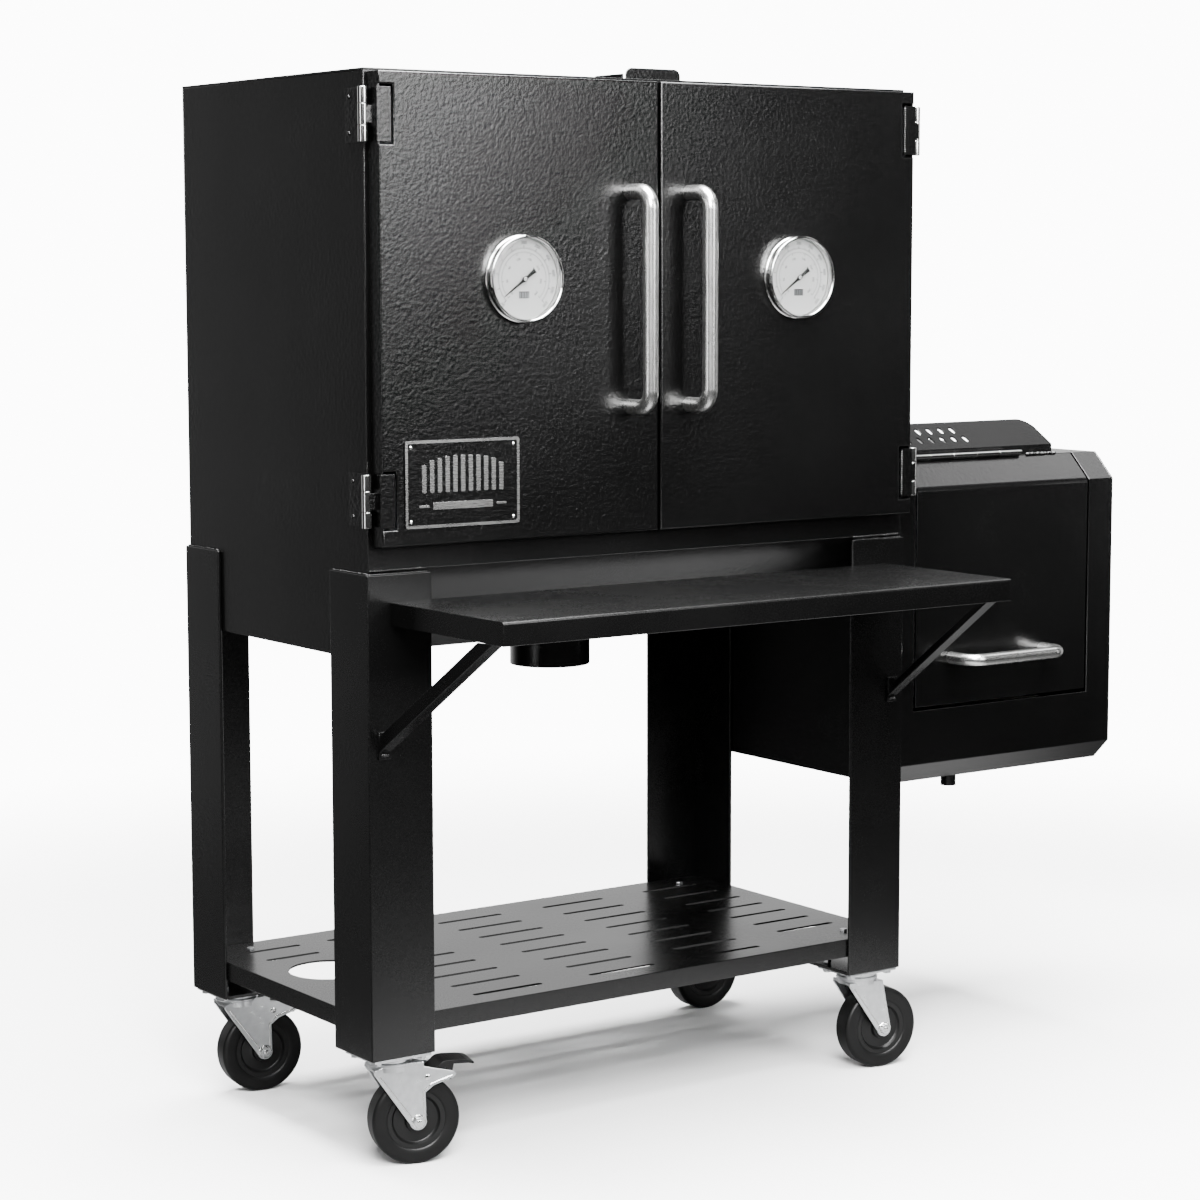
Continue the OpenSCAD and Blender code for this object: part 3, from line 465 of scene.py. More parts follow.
softened("exhaust_damper", edgeRadius["damper"], "doorCoat", "exhaust_slide", shortest=1.0)
softened("air_damper", edgeRadius["damper"], "bodyCoat", "air_slide")
for side in ["left", "right"]:
    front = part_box(side + "_door_skin")[0].y
    softened(side + "_door_skin", 0.8, "doorCoat", side + "_door",
             first=(onPlane(1, front), edgeRadius["door"]))
    softened(side + "_door_liner", 0.6, "galvanised", side + "_door")
softened("firebox_door_liner", 1.5, "galvanised", "firebox_door")
softened("fire_grate", 1.2, "castIron")
softened("water_pan", 0.7, "galvanised")
softened("rack_rails", edgeRadius["thin"], "galvanised")
softened("door_gasket", 1.0, "wovenGasket")
print("sheet metal softened")


# ---------- handles ----------

handleLook = {"radius": 11.0, "fireboxRadius": 9.5, "bend": 24.0, "bendSteps": 14, "straightSteps": 24}


def handlePath(lowEnd, highEnd, out, bend):
    # a U from one end on the door's face to the other, out by the vector out
    along = (highEnd - lowEnd).normalized()
    away = out.normalized()
    points = [lowEnd.copy(), lowEnd + out - away * bend]
    for foot, sense in ((lowEnd, 1), (highEnd, -1)):
        centre = foot + out - away * bend + along * bend * sense
        arc = []
        for k in range(1, handleLook["bendSteps"] + 1):
            t = math.radians(90 * k / handleLook["bendSteps"])
            arc.append(centre - along * sense * bend * math.cos(t) + away * bend * math.sin(t))
        if sense == 1:
            points += arc
        else:
            points += arc[::-1] + [highEnd + out - away * bend, highEnd.copy()]
    return points


def makeHandle(node, body, radius, finish, axis):
    low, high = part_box(node)
    r = radius * mm
    middle = (low + high) / 2
    footA, footB = Vector(middle), Vector(middle)
    footA[axis], footB[axis] = low[axis] + r, high[axis] - r
    footA.y = footB.y = high.y
    work = bmesh.new()
    reach = Vector((0, low.y + r - high.y, 0))
    addTube(work, handlePath(footA, footB, reach, handleLook["bend"] * mm), r, 40)
    toPiece(node + "_tube", work, body, finish, [node], crease=60)


makeHandle("left_handle", "left_door", handleLook["radius"], "satinStainless", 2)
makeHandle("right_handle", "right_door", handleLook["radius"], "satinStainless", 2)
makeHandle("firebox_handle", "firebox_door", handleLook["fireboxRadius"], "satinStainlessAcross", 0)
print("handles made")


# ---------- thermometers ----------

dialLook = {
    "radius": 60.0, "depth": 16.0, "rim": 5.0, "floor": 4.5,
    "outerRing": 41.0, "innerRing": 36.5, "outerNumbers": 47.5, "innerNumbers": 27.5,
    "sweep": 270.0, "outerValues": list(range(50, 551, 50)), "innerValues": list(range(10, 291, 40)),
    "needle": 42.0, "tail": 20.0, "stem": 60.0,
}


def addNumber(work, text, size, place):
    curve = bpy.data.curves.new("number", "FONT")
    curve.body, curve.size = text, size
    curve.align_x, curve.align_y = "CENTER", "CENTER"
    curve.resolution_u = 3
    curve.extrude = 0.05 * mm
    holder = bpy.data.objects.new("number", curve)
    bpy.context.scene.collection.objects.link(holder)
    bpy.context.view_layer.update()
    mesh = holder.evaluated_get(bpy.context.evaluated_depsgraph_get()).to_mesh()
    part = bmesh.new()
    part.from_mesh(mesh)
    bmesh.ops.transform(part, matrix=place, verts=part.verts)
    temp = bpy.data.meshes.new("number")
    part.to_mesh(temp)
    part.free()
    work.from_mesh(temp)
    bpy.data.meshes.remove(temp)
    bpy.data.objects.remove(holder)
    bpy.data.curves.remove(curve)


def dialTurn(share, radius):
    # position and turn on the dial, from the lower left round to the lower right
    angle = math.radians(90 + dialLook["sweep"] / 2 - share * dialLook["sweep"])
    spin = Matrix.Rotation(angle - math.pi / 2, 4, "Z")
    return Matrix.Translation((radius * mm * math.cos(angle), radius * mm * math.sin(angle), 0)) @ spin


def addTick(work, place, width, length, height):
    outline = [(-width / 2, -length / 2), (width / 2, -length / 2), (width / 2, length / 2), (-width / 2, length / 2)]
    addSlab(work, [(x * mm, y * mm) for x, y in outline], 0, height * mm, place)


def makeThermometer(side):
    look = dialLook
    body = side + "_door"
    low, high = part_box(side + "_thermometer")
    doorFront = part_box(side + "_door_skin")[0].y
    centre = Vector(((low.x + high.x) / 2, doorFront, (low.z + high.z) / 2))
    place = Matrix.Translation(centre) @ Matrix.Rotation(math.radians(90), 4, "X")
    r, depth, rim, floorZ = look["radius"], look["depth"], look["rim"], look["floor"]

    work = bmesh.new()
    wall = [(0, floorZ - 1.2), (r - rim, floorZ - 1.2), (r - rim, depth - 3.2), (r - rim + 0.5, depth - 1.6),
            (r - rim + 1.2, depth - 0.7)]
    lip = [(r - 2.4 + 1.9 * math.cos(t), depth - 1.9 + 1.9 * math.sin(t)) for t in
           [math.radians(a) for a in (110, 85, 60, 35, 10, -15)]]
    back = [(r - 0.9, depth - 4.0), (r - 1.6, depth - 5.0), (r - 1.6, 3.2), (r - 0.4, 2.4), (r, 1.4), (r, 0.0),
            (5.0, 0.0), (4.5, -look["stem"]), (0, -look["stem"])]
    addLathe(work, [(a * mm, b * mm) for a, b in wall + lip + back], place, 128)
    toPiece(side + "_dialCase", work, body, "polishedSteel",
            [side + "_thermometer"], crease=50)

    work = bmesh.new()
    face = [(0, floorZ), (r - rim - 0.8, floorZ), (r - rim - 0.3, floorZ - 0.4), (r - rim - 0.3, floorZ - 1.1),
            (0, floorZ - 1.1)]
    addLathe(work, [(a * mm, b * mm) for a, b in face], place, 128)
    toPiece(side + "_dialFace", work, body, "dialPaper")

    face = place @ Matrix.Translation((0, 0, floorZ * mm))
    work = bmesh.new()
    outer, inner = look["outerValues"], look["innerValues"]
    fine = (len(outer) - 1) * 10
    for k in range(fine + 1):
        major, middle = k % 10 == 0, k % 5 == 0
        length = 4.6 if major else 3.0 if middle else 2.0
        addTick(work, face @ dialTurn(k / fine, look["outerRing"] + length / 2),
                0.75 if major else 0.3, length, 0.08)
    fine = (len(inner) - 1) * 8
    for k in range(fine + 1):
        length = 3.4 if k % 8 == 0 else 1.7
        addTick(work, face @ dialTurn(k / fine, look["innerRing"] - length / 2),
                0.6 if k % 8 == 0 else 0.26, length, 0.08)
    for value in outer:
        share = outer.index(value) / (len(outer) - 1)
        addNumber(work, str(value), 6.4 * mm, face @ dialTurn(share, look["outerNumbers"] + 1.4))
    for value in inner:
        share = inner.index(value) / (len(inner) - 1)
        addNumber(work, str(value), 4.6 * mm, face @ dialTurn(share, look["innerNumbers"]))
    for radius in (look["outerRing"], look["innerRing"]):
        ring = [(dialTurn(k / 90, radius).translation + dialTurn(k / 90, radius).to_3x3() @ Vector((0, 0, 0.04 * mm)))
                for k in range(91)]
        addTube(work, [face @ point for point in ring], 0.14 * mm, 4)
    toPiece(side + "_dialMarks", work, body, "dialInk")

    # a small dark-topped window low on the face
    work = bmesh.new()
    window = face @ Matrix.Translation((0, -22 * mm, 0))
    addSlab(work, [(x * mm, y * mm) for x, y in roundedOutline(17, 9, 0.8)], 0.02 * mm, 0.25 * mm, window,
            0.1 * mm)
    toPiece(side + "_dialWindow", work, body, "galvanised")
    work = bmesh.new()
    for x, w in ((-4.4, 0.7), (0, 0.7), (4.4, 0.7)):
        addTick(work, window @ Matrix.Translation((x * mm, 0, 0.25 * mm)), w, 8.6, 0.06)
    addTick(work, window @ Matrix.Translation((0, 4.4 * mm, 0.2 * mm)), 17, 0.9, 0.15)
    toPiece(side + "_dialWindowBars", work, body, "dialInk")

    # pointer: a tapered blade with a flared tail, under a white hub cap
    work = bmesh.new()
    turn = dialTurn(0.035, 0).to_3x3().to_4x4()
    blade = place @ Matrix.Translation((0, 0, (floorZ + 3.0) * mm)) @ turn
    tip, tail = look["needle"], -look["tail"]
    outline = [(0.35, tip), (-0.35, tip), (-1.7, 6), (-3.4, 3.4), (-3.4, -2), (-1.8, -5), (-2.8, tail + 2),
               (-4.6, tail), (4.6, tail), (2.8, tail + 2), (1.8, -5), (3.4, -2), (3.4, 3.4), (1.7, 6)]
    addSlab(work, [(x * mm, y * mm) for x, y in outline], 0, 0.9 * mm, blade, 0.2 * mm)
    addLathe(work, [(0, -6.5 * mm), (1.8 * mm, -6.5 * mm), (1.8 * mm, 0.4 * mm), (0, 0.4 * mm)], blade, 24)
    toPiece(side + "_needle", work, side + "_needle", "dialInk", [side + "_pointer"])
    work = bmesh.new()
    cap = [(0, 2.1), (1.0, 2.05), (2.2, 1.7), (2.9, 0.9), (2.9, 0.85), (0, 0.85)]
    addLathe(work, [(a * mm, b * mm) for a, b in cap], blade, 32)
    toPiece(side + "_needleCap", work, side + "_needle", "dialPaper")
    work = bmesh.new()
    addLathe(work, [(0, 2.35 * mm), (0.7 * mm, 2.25 * mm), (0.7 * mm, 1.9 * mm), (0, 1.9 * mm)], blade, 16)
    toPiece(side + "_needleDot", work, side + "_needle", "dialInk")

    work = bmesh.new()
    glassR = r - rim - 0.1
    pane = [(0, depth - 2.4), (glassR - 4, depth - 2.6), (glassR, depth - 3.2), (glassR, depth - 4.4),
            (0, depth - 4.4)]
    addLathe(work, [(a * mm, b * mm) for a, b in pane], place, 96)
    toPiece(side + "_dialGlass", work, body, "clearGlass", [side + "_glass"])


makeThermometer("left")
makeThermometer("right")
print("thermometers made")


# ---------- hinges ----------

hingeLook = {"height": 72.0, "radius": 6.5, "middle": 0.385, "reach": 11.0}


def addKnuckle(work, axis, z0, z1, radius):
    e = 0.6 * mm
    outline = [(0, z0), (radius - e, z0), (radius, z0 + e), (radius, z1 - e), (radius - e, z1), (0, z1)]
    addLathe(work, outline, Matrix.Translation((axis.x, axis.y, 0)), 40)


def makeDoorHinges(side):
    look = hingeLook
    body = side + "_door"
    sign = 1 if side == "left" else -1
    axis = jointPoint(side + "_door_hinge")
    low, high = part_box(side + "_door_hinges")
    half = look["height"] / 2 * mm
    r = look["radius"] * mm
    cut = look["middle"] * half
    fixed, turning, leaves, rivets = bmesh.new(), bmesh.new(), bmesh.new(), bmesh.new()
    for z in (low.z + half, high.z - half):
        addKnuckle(fixed, axis, z + cut + 0.4 * mm, z + half, r)
        addKnuckle(fixed, axis, z - half, z - cut - 0.4 * mm, r)
        addKnuckle(turning, axis, z - cut, z + cut, r)
        # leaf on the cabinet's side, with the strips that reach its two knuckles
        inner, outer = axis.x + sign * look["reach"] * mm, axis.x + sign * (look["reach"] - 3) * mm
        x0, x1 = sorted((inner, outer))
        addBox(leaves, (x0, axis.y + 20 * mm, z - half), (x1, axis.y + 60 * mm, z + half), 0.7 * mm)
        for a, b in ((z - half, z - cut - 1 * mm), (z + cut + 1 * mm, z + half)):
            addBox(leaves, (x0, axis.y + 3.5 * mm, a), (x1, axis.y + 21 * mm, b), 0.5 * mm)
            b0, b1 = sorted((axis.x, x1 if sign > 0 else x0))
            addBox(leaves, (b0, axis.y + 3.5 * mm, a), (b1, axis.y + 6.5 * mm, b), 0.5 * mm)
        for dz in (-half + 12 * mm, half - 12 * mm):
            head = Matrix.Translation((outer, axis.y + 50 * mm, z + dz))
            head = head @ Matrix.Rotation(math.radians(-90 * sign), 4, "Y")
            dome = [(0, 1.7 * mm), (1.6 * mm, 1.5 * mm), (2.8 * mm, 0.8 * mm), (3.2 * mm, -0.2 * mm), (0, -0.2 * mm)]
            addLathe(rivets, dome, head, 20)
    toPiece(side + "_hingeKnucklesFixed", fixed, "smoker", "polishedSteel", crease=50)
    toPiece(side + "_hingeKnucklesTurning", turning, body, "polishedSteel", crease=50)
    toPiece(side + "_hingeLeavesFixed", leaves, "smoker", "doorCoat")
    toPiece(side + "_hingeRivets", rivets, "smoker", "weldCoat", crease=60)

    withoutBarrel(side + "_door_hinges", axis, 2, look["radius"], 0.6, "doorCoat", body)


makeDoorHinges("left")
makeDoorHinges("right")

fireHinge = {"radius": 4.0, "knuckles": 5, "strip": 21.0}


def makeFireboxHinge():
    axis = jointPoint("firebox_door_hinge")
    low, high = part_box("firebox_door_hinge")
    step = (high.x - low.x) / 2.994
    start = low.x - step
    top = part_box("firebox_wrapper")[1].z
    r = fireHinge["radius"] * mm
    parts = {"smoker": bmesh.new(), "firebox_door": bmesh.new()}
    for i in range(fireHinge["knuckles"]):
        work = parts["smoker" if i % 2 == 0 else "firebox_door"]
        place = Matrix.Translation((start + i * step, axis.y, axis.z)) @ Matrix.Rotation(math.radians(90), 4, "Y")
        length = step - 0.5 * mm
        e = 0.4 * mm
        addLathe(work, [(0, 0), (r - e, 0), (r, e), (r, length - e), (r - e, length), (0, length)], place, 32)
        if i % 2 == 0:
            addBox(work, (start + i * step, axis.y + 2 * mm, top), (start + i * step + length,
                   axis.y + 24 * mm, top + 2 * mm), 0.5 * mm)
    toPiece("firebox_hingeFixed", parts["smoker"], "smoker", "polishedSteel", ["cabinet_hinges"],
            crease=50)
    toPiece("firebox_hingeTurning", parts["firebox_door"], "firebox_door", "polishedSteel",
            crease=50)
    withoutBarrel("firebox_door_hinge", axis, 0, fireHinge["radius"], 0.4, "weldCoat", "firebox_door")
    end = start + fireHinge["knuckles"] * step
    return end, axis


hingeEnd, hingeAxis = makeFireboxHinge()
print("hinges made")


# ---------- badge ----------

badgeLook = {"border": 4.2, "corner": 4.0, "rivet": 2.4, "rivetInset": 9.5, "slats": 11}


def makeBadge():
    look = badgeLook
    low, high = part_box("badge")
    face = low.y + 1.5 * mm        # front of the plate, behind the rivet heads
    middle = Vector(((low.x + high.x) / 2, face, (low.z + high.z) / 2))
    width, height = (high.x - low.x) / mm, (high.z - low.z) / mm
    place = Matrix.Translation(middle) @ Matrix.Rotation(math.radians(90), 4, "X")
    work = bmesh.new()
    addSlab(work, [(x * mm, y * mm) for x, y in roundedOutline(width, height, look["corner"])],
            -2 * mm, 0, place, 0.4 * mm)
    toPiece("badge_plate", work, "left_door", "doorCoat", ["badge"])

    work = bmesh.new()
    b = look["border"]
    outer = roundedOutline(width - 0.6, height - 0.6, look["corner"], 8)
    inner = roundedOutline(width - 2 * b, height - 2 * b, look["corner"] * 0.5, 8)
    count = len(outer)
    levels = [(outer, 0.0), (outer, 0.7), (inner, 0.7), (inner, 0.0)]
    rings = [[work.verts.new(place @ Vector((x * mm, y * mm, z * mm))) for x, y in outline]
             for outline, z in levels]
    for a, b2 in zip(rings, rings[1:] + rings[:1]):
        for k in range(count):
            work.faces.new((a[k], a[(k + 1) % count], b2[(k + 1) % count], b2[k]))
    # a plain grill of upright slats under an arch, over a bar with a dash on each side
    slats = look["slats"]
    for i in range(slats):
        t = (i - (slats - 1) / 2) / ((slats - 1) / 2)
        tall = 34 + 16 * math.sqrt(1 - 0.94 * t * t)
        shift = Matrix.Translation((t * 62 * mm, (-12 + tall / 2) * mm, 0))
        addSlab(work, [(x * mm, y * mm) for x, y in roundedOutline(6.8, tall, 1.6, 4)], 0, 0.7 * mm,
                place @ shift, 0.2 * mm)
    for x, w, h in ((0, 96, 10), (-62, 16, 3), (62, 16, 3)):
        addSlab(work, [(px * mm, py * mm) for px, py in roundedOutline(w, h, 1.2, 4)], 0, 0.7 * mm,
                place @ Matrix.Translation((x * mm, -30 * mm, 0)), 0.2 * mm)
    toPiece("badge_border", work, "left_door", "satinStainlessAcross")

    work = bmesh.new()
    for sx in (-1, 1):
        for sz in (-1, 1):
            shift = Matrix.Translation((sx * (width / 2 - look["rivetInset"]) * mm,
                                        sz * (height / 2 - look["rivetInset"]) * mm, 0))
            dome = [(0, 1.4), (1.0, 1.25), (1.9, 0.7), (look["rivet"], 0.0), (0, 0.0)]
            addLathe(work, [(a * mm, c * mm) for a, c in dome], place @ shift, 20)
    toPiece("badge_rivets", work, "left_door", "polishedSteel", crease=60)


makeBadge()
print("badge made")


# ---------- racks ----------

rackLook = {"wire": 2.6, "frame": 3.0, "bars": 22}


def makeRacks():
    # each rack as bent wire: a round frame with thinner rods across it
    clean = nodeMesh("cooking_racks")
    boxes = []
    left = set(clean.verts)
    while left:
        island, queue = set(), [left.pop()]
        while queue:
            vert = queue.pop()
            island.add(vert)
            for edge in vert.link_edges:
                other = edge.other_vert(vert)
                if other in left:
                    left.discard(other)
                    queue.append(other)
        low = Vector([min(v.co[i] for v in island) for i in range(3)])
        high = Vector([max(v.co[i] for v in island) for i in range(3)])
        boxes.append((low, high))
    clean.free()
    boxes.sort(key=lambda pair: (round(pair[0].z, 3), round(pair[0].x, 3)))
    work = bmesh.new()
    r, wire = rackLook["frame"] * mm, rackLook["wire"] * mm / 2 + 0.4 * mm
    for low, high in boxes:
        z = low.z + r
        bend = 12 * mm
        loop = []
        for cx, cy, start in ((high.x - r - bend, high.y - r - bend, 0), (low.x + r + bend, high.y - r - bend, 90),
                              (low.x + r + bend, low.y + r + bend, 180), (high.x - r - bend, low.y + r + bend, 270)):
            for k in range(7):
                t = math.radians(start + 15 * k)
                loop.append(Vector((cx + bend * math.cos(t), cy + bend * math.sin(t), z)))
        addTube(work, loop + [loop[0]], r, 10)
        for i in range(rackLook["bars"]):
            x = low.x + r + (i + 0.5) * (high.x - low.x - 2 * r) / rackLook["bars"]
            ends = (low.y + r, high.y - r)
            addTube(work, [Vector((x, y, z + r - wire)) for y in ends], wire, 8)
        for share in (0.25, 0.5, 0.75):
            y = low.y + share * (high.y - low.y)
            addTube(work, [Vector((x, y, z - r + wire)) for x in (low.x + r, high.x - r)], wire, 8)
    toPiece("cooking_racks_wire", work, "smoker", "galvanised", ["cooking_racks"], crease=60)


makeRacks()
print("racks made")


# ---------- casters ----------

wheelLook = {"radius": 63.5, "half": 18.0, "shoulder": 6.0, "hub": 20.0, "disc": 40.0}
forkLook = {
    "gap": 44.0, "sheet": 3.5,
    "ridge": [(-7, 3), (-55, 69)], "plainRidge": [(8.5, 3), (-2.5, 60)],
    "brakedRidge": [(8.5, 3), (7.5, 42), (20, 53), (50, 61.5)],
}


def turnedPlace(joint):
    # a frame at the joint whose Z looks sideways out of the caster, on the side nearer the front
    ahead = Vector(joints[joint]["axis"]).cross(Vector((0, 0, 1)))
    side = -Vector(joints[joint]["axis"])
    turn = Matrix((ahead, Vector((0, 0, 1)), side)).transposed().to_4x4()
    return Matrix.Translation(jointPoint(joint)) @ turn


def wheelPlace(corner):
    return turnedPlace("roll_" + corner)


def makeWheel(corner):
    look = wheelLook
    place = wheelPlace(corner)
    R, half, s = look["radius"], look["half"], look["shoulder"]
    work = bmesh.new()
    tread = [(R - 0.5 * (1 - math.cos(math.radians(a))) * 2 - 0.0, h) for a, h in ((24, half - s), (12, 5), (0, 0))]
    shoulder = [(R - s + s * math.sin(math.radians(a)) - 0.12, half - s + s * math.cos(math.radians(a)))
                for a in (8, 25, 42, 60, 78)]
    side = [(look["disc"] + 2, half - 2.6), (look["disc"] + 4.0, half - 0.9), (look["disc"] + 9, half - 0.25),
            (R - s - 2, half)]
    flank = side + shoulder + tread
    outline = [(r, h) for r, h in flank] + [(r, -h) for r, h in reversed(flank[:-1])]
    inner = [(look["disc"] + 1, -half + 4), (look["disc"] + 1, half - 4)]
    ring = [(r * mm, h * mm) for r, h in outline + inner]
    addLathe(work, ring + [ring[0]], place, 128)
    toPiece("tyre_" + corner, work, "roller_" + corner, "hardRubber", ["wheel_" + corner],
            crease=34)

    work = bmesh.new()
    d, hub = look["disc"], look["hub"]
    web = [(6, half + 2.6), (hub - 6, half + 2.6), (hub - 4.5, half + 1.6), (hub - 3.0, half - 4.5), (hub + 1, half - 6.5),
           (d - 8, half - 7.5), (d - 6.5, half - 6.6), (d - 4.5, half - 3.4), (d - 2, half - 2.8), (d + 2.2, half - 2.8)]
    full = web + [(r, -h) for r, h in reversed(web)]
    ring = [(r * mm, h * mm) for r, h in full]
    addLathe(work, ring + [ring[0]], place, 96)
    toPiece("wheelDisc_" + corner, work, "roller_" + corner, "mouldedPlastic", crease=30)


def makeFork(corner, braked):
    body = "swivel_" + corner
    node = "fork_" + corner
    softened(node, 1.1, "zincPlate", body, shortest=2.0)
    place = wheelPlace(corner)
    swivel = jointPoint("swivel_" + corner)
    half = (forkLook["gap"] / 2 + forkLook["sheet"]) * mm
    work = bmesh.new()
    for sense in (1, -1):
        # washer, hex nut and rounded bolt end on each side of the axle
        out = place @ Matrix.Rotation(0 if sense > 0 else math.pi, 4, "X") @ Matrix.Translation((0, 0, half))
        addLathe(work, [(0, 0), (10.2 * mm, 0), (10.2 * mm, 0.9 * mm), (9.6 * mm, 1.5 * mm), (0, 1.5 * mm)], out, 40)
        nut = [(8.2 * mm * math.cos(math.radians(60 * k + 12)), 8.2 * mm * math.sin(math.radians(60 * k + 12)))
               for k in range(6)]
        addSlab(work, nut, 1.4 * mm, 5.9 * mm, out, 0.7 * mm)
        addLathe(work, [(0, 6.9 * mm), (2.6 * mm, 6.9 * mm), (3.9 * mm, 6.2 * mm), (4.2 * mm, 5.5 * mm), (0, 5.5 * mm)],
                 out, 24)
    toPiece("axleNuts_" + corner, work, body, "polishedSteel", crease=30)

    # rolled lip of the ball race, round the swivel
    work = bmesh.new()
    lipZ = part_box(node)[1].z
    race = [(26, -4.5), (31.2, -4.5), (32.2, -3.2), (32.2, -1.4), (31.0, -0.3), (26, -0.3), (26, -4.5)]
    addLathe(work, [(a * mm, b * mm) for a, b in race], Matrix.Translation((swivel.x, swivel.y, lipZ)), 64)
    toPiece("ballRace_" + corner, work, body, "zincPlate", crease=30)

    # pressed ridges down each cheek and along its upper edge, and the rivet heads above them
    work = bmesh.new()
    for sense in (1, -1):
        out = place @ Matrix.Translation((0, 0, sense * (half - 0.5 * mm)))
        for line in (forkLook["ridge"], forkLook["brakedRidge" if braked else "plainRidge"]):
            addTube(work, [out @ Vector((x * mm, y * mm, 0)) for x, y in line], 1.1 * mm, 12)
        if braked:
            rivet = out @ Matrix.Translation((14 * mm, 62 * mm, 0)) @ Matrix.Rotation(
                0 if sense > 0 else math.pi, 4, "X")
            addLathe(work, [(0, 2.4 * mm), (2.4 * mm, 2.1 * mm), (4.2 * mm, 1.2 * mm), (4.6 * mm, 0), (0, 0)], rivet, 24)
    toPiece("forkRidges_" + corner, work, body, "polishedSteel", crease=40)
    if braked:
        makePedal(corner)


pedalLook = {"width": 41.0, "ribs": 7}


def makePedal(corner):
    body = "brake_" + corner
    half = pedalLook["width"] / 2 * mm
    place = turnedPlace("brake_" + corner)
    work = bmesh.new()
    # side view: hub, rising arm, tread with a turned-down end, brake shoe under it
    outline = [(-4.6, 3.8), (0, 7), (7, 14), (12, 16.6), (18, 17.5), (36, 16.6), (52, 14.4), (56, 12.4), (57, 9.8),
               (54.5, 9.2), (48, 11.6), (26, 12.6), (23, -10), (18, -10), (15, 9), (9, 5), (6, 0), (4.2, -4.2),
               (0, -6), (-4.2, -4.2), (-6, 0)]
    addSlab(work, [(x * mm, y * mm) for x, y in outline[::-1]], -half, half, place, 0.7 * mm)
    toPiece("pedal_" + corner + "_tread", work, body, "mouldedPlastic", ["pedal_" + corner],
            crease=50)
    work = bmesh.new()
    for k in range(pedalLook["ribs"]):
        shift = Matrix.Translation(((20 + 4.2 * k) * mm, (17.4 - 0.09 * k * 4.2 - 0.1) * mm, 0))
        addTube(work, [place @ shift @ Vector((0, 0, z)) for z in (3 * mm - half, half - 3 * mm)], 1.0 * mm, 8)
    toPiece("pedal_" + corner + "_ribs", work, body, "mouldedPlastic", crease=50)


for corner in ["front_left", "front_right", "rear_left", "rear_right"]:
    makeWheel(corner)
    makeFork(corner, ("pedal_" + corner) in nodes)
softened("caster_plates", 1.0, "zincPlate", shortest=3.0)
softened("bolts", 0.6, "zincPlate", shortest=2.0)
print("casters made")


# ---------- welds ----------


def makeWelds():
    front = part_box("cabinet_front_frame")
    legs = {name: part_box("leg_" + name) for name in ("front_left", "front_right", "rear_left", "rear_right")}
    skin = 0.6 * mm
    z = front[0].z
    y = front[0].y
    flange = legs["front_left"][1].x
    flangeRight = legs["front_right"][0].x
    weldBead("weld_panel_left", (front[0].x + 2 * mm, y, z), (flange - 4 * mm, y, z), 2.4)
    weldBead("weld_panel_right", (flangeRight + 4 * mm, y, z), (front[1].x - 2 * mm, y, z), 2.8)
    weldBead("weld_panel_middle", (flange, y + skin, z), (flangeRight, y + skin, z), 1.3)
    for name, (low, high) in legs.items():
        left = "left" in name
        back = "rear" in name
        outX = low.x if left else high.x
        outY = high.y if back else low.y
        x = outX + (3.4 if left else -3.4) * mm
        yEdge = outY + (-3.4 if back else 3.4) * mm
        weldBead("weld_" + name + "_side", (x, low.y + 4 * mm, high.z), (x, high.y - 4 * mm, high.z), 2.2)
        weldBead("weld_" + name + "_end", (low.x + 4 * mm, yEdge, high.z), (high.x - 4 * mm, yEdge, high.z), 2.2)
    # firebox seams: the front frame's slanted right edge and the hinge's end
    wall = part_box("firebox_right_wall")
    chamfer = 41 * mm
    weldBead("weld_firebox_slant", (wall[1].x - 2 * mm, wall[0].y + 2 * mm, wall[1].z - chamfer),
             (wall[1].x - 2 * mm, wall[0].y + chamfer, wall[1].z - 1 * mm), 2.2)
    weldBead("weld_firebox_hinge", (hingeEnd + 12 * mm, hingeAxis.y + 2 * mm, wall[1].z + 1 * mm),
             (hingeEnd + 78 * mm, hingeAxis.y + 2 * mm, wall[1].z + 1 * mm), 3.2)
    # door leaves, welded along their inner ends on the right door
    low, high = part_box("right_door_hinges")
    half = hingeLook["height"] / 2 * mm
    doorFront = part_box("right_door_skin")[0].y
    for tag, zMid in (("low", low.z + half), ("high", high.z - half)):
        weldBead("weld_leaf_" + tag, (low.x + 1 * mm, doorFront + 0.4 * mm, zMid - half + 2 * mm),
                 (low.x + 1 * mm, doorFront + 0.4 * mm, zMid + half - 2 * mm), 2.6, "right_door")
    # braces: tops under the shelf and feet on the legs
    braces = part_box("shelf_braces")
    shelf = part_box("front_shelf")
    for sign, x in ((1, braces[0].x), (-1, braces[1].x)):
        foot = x + sign * 10 * mm
        weldBead("weld_brace_top_" + ("left" if sign > 0 else "right"),
                 (shelf[0].x + 8 * mm if sign > 0 else shelf[1].x - 8 * mm, braces[0].y + 4 * mm, braces[1].z - 1 * mm),
                 (shelf[0].x + 8 * mm if sign > 0 else shelf[1].x - 8 * mm, braces[0].y + 26 * mm, braces[1].z - 1 * mm),
                 3.0)
        weldBead("weld_brace_foot_" + ("left" if sign > 0 else "right"),
                 (foot - 7 * mm, braces[1].y - 3 * mm, braces[0].z + 6 * mm),
                 (foot + 7 * mm, braces[1].y - 3 * mm, braces[0].z + 6 * mm), 3.0)
    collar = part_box("drain_outlets")
    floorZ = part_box("cabinet_floor")[0].z
    centre = Vector(((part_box("cabinet_floor")[0].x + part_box("cabinet_floor")[1].x) / 2, 0, floorZ))
    return centre, collar


makeWelds()
print("welds made")


# ---------- studio ----------

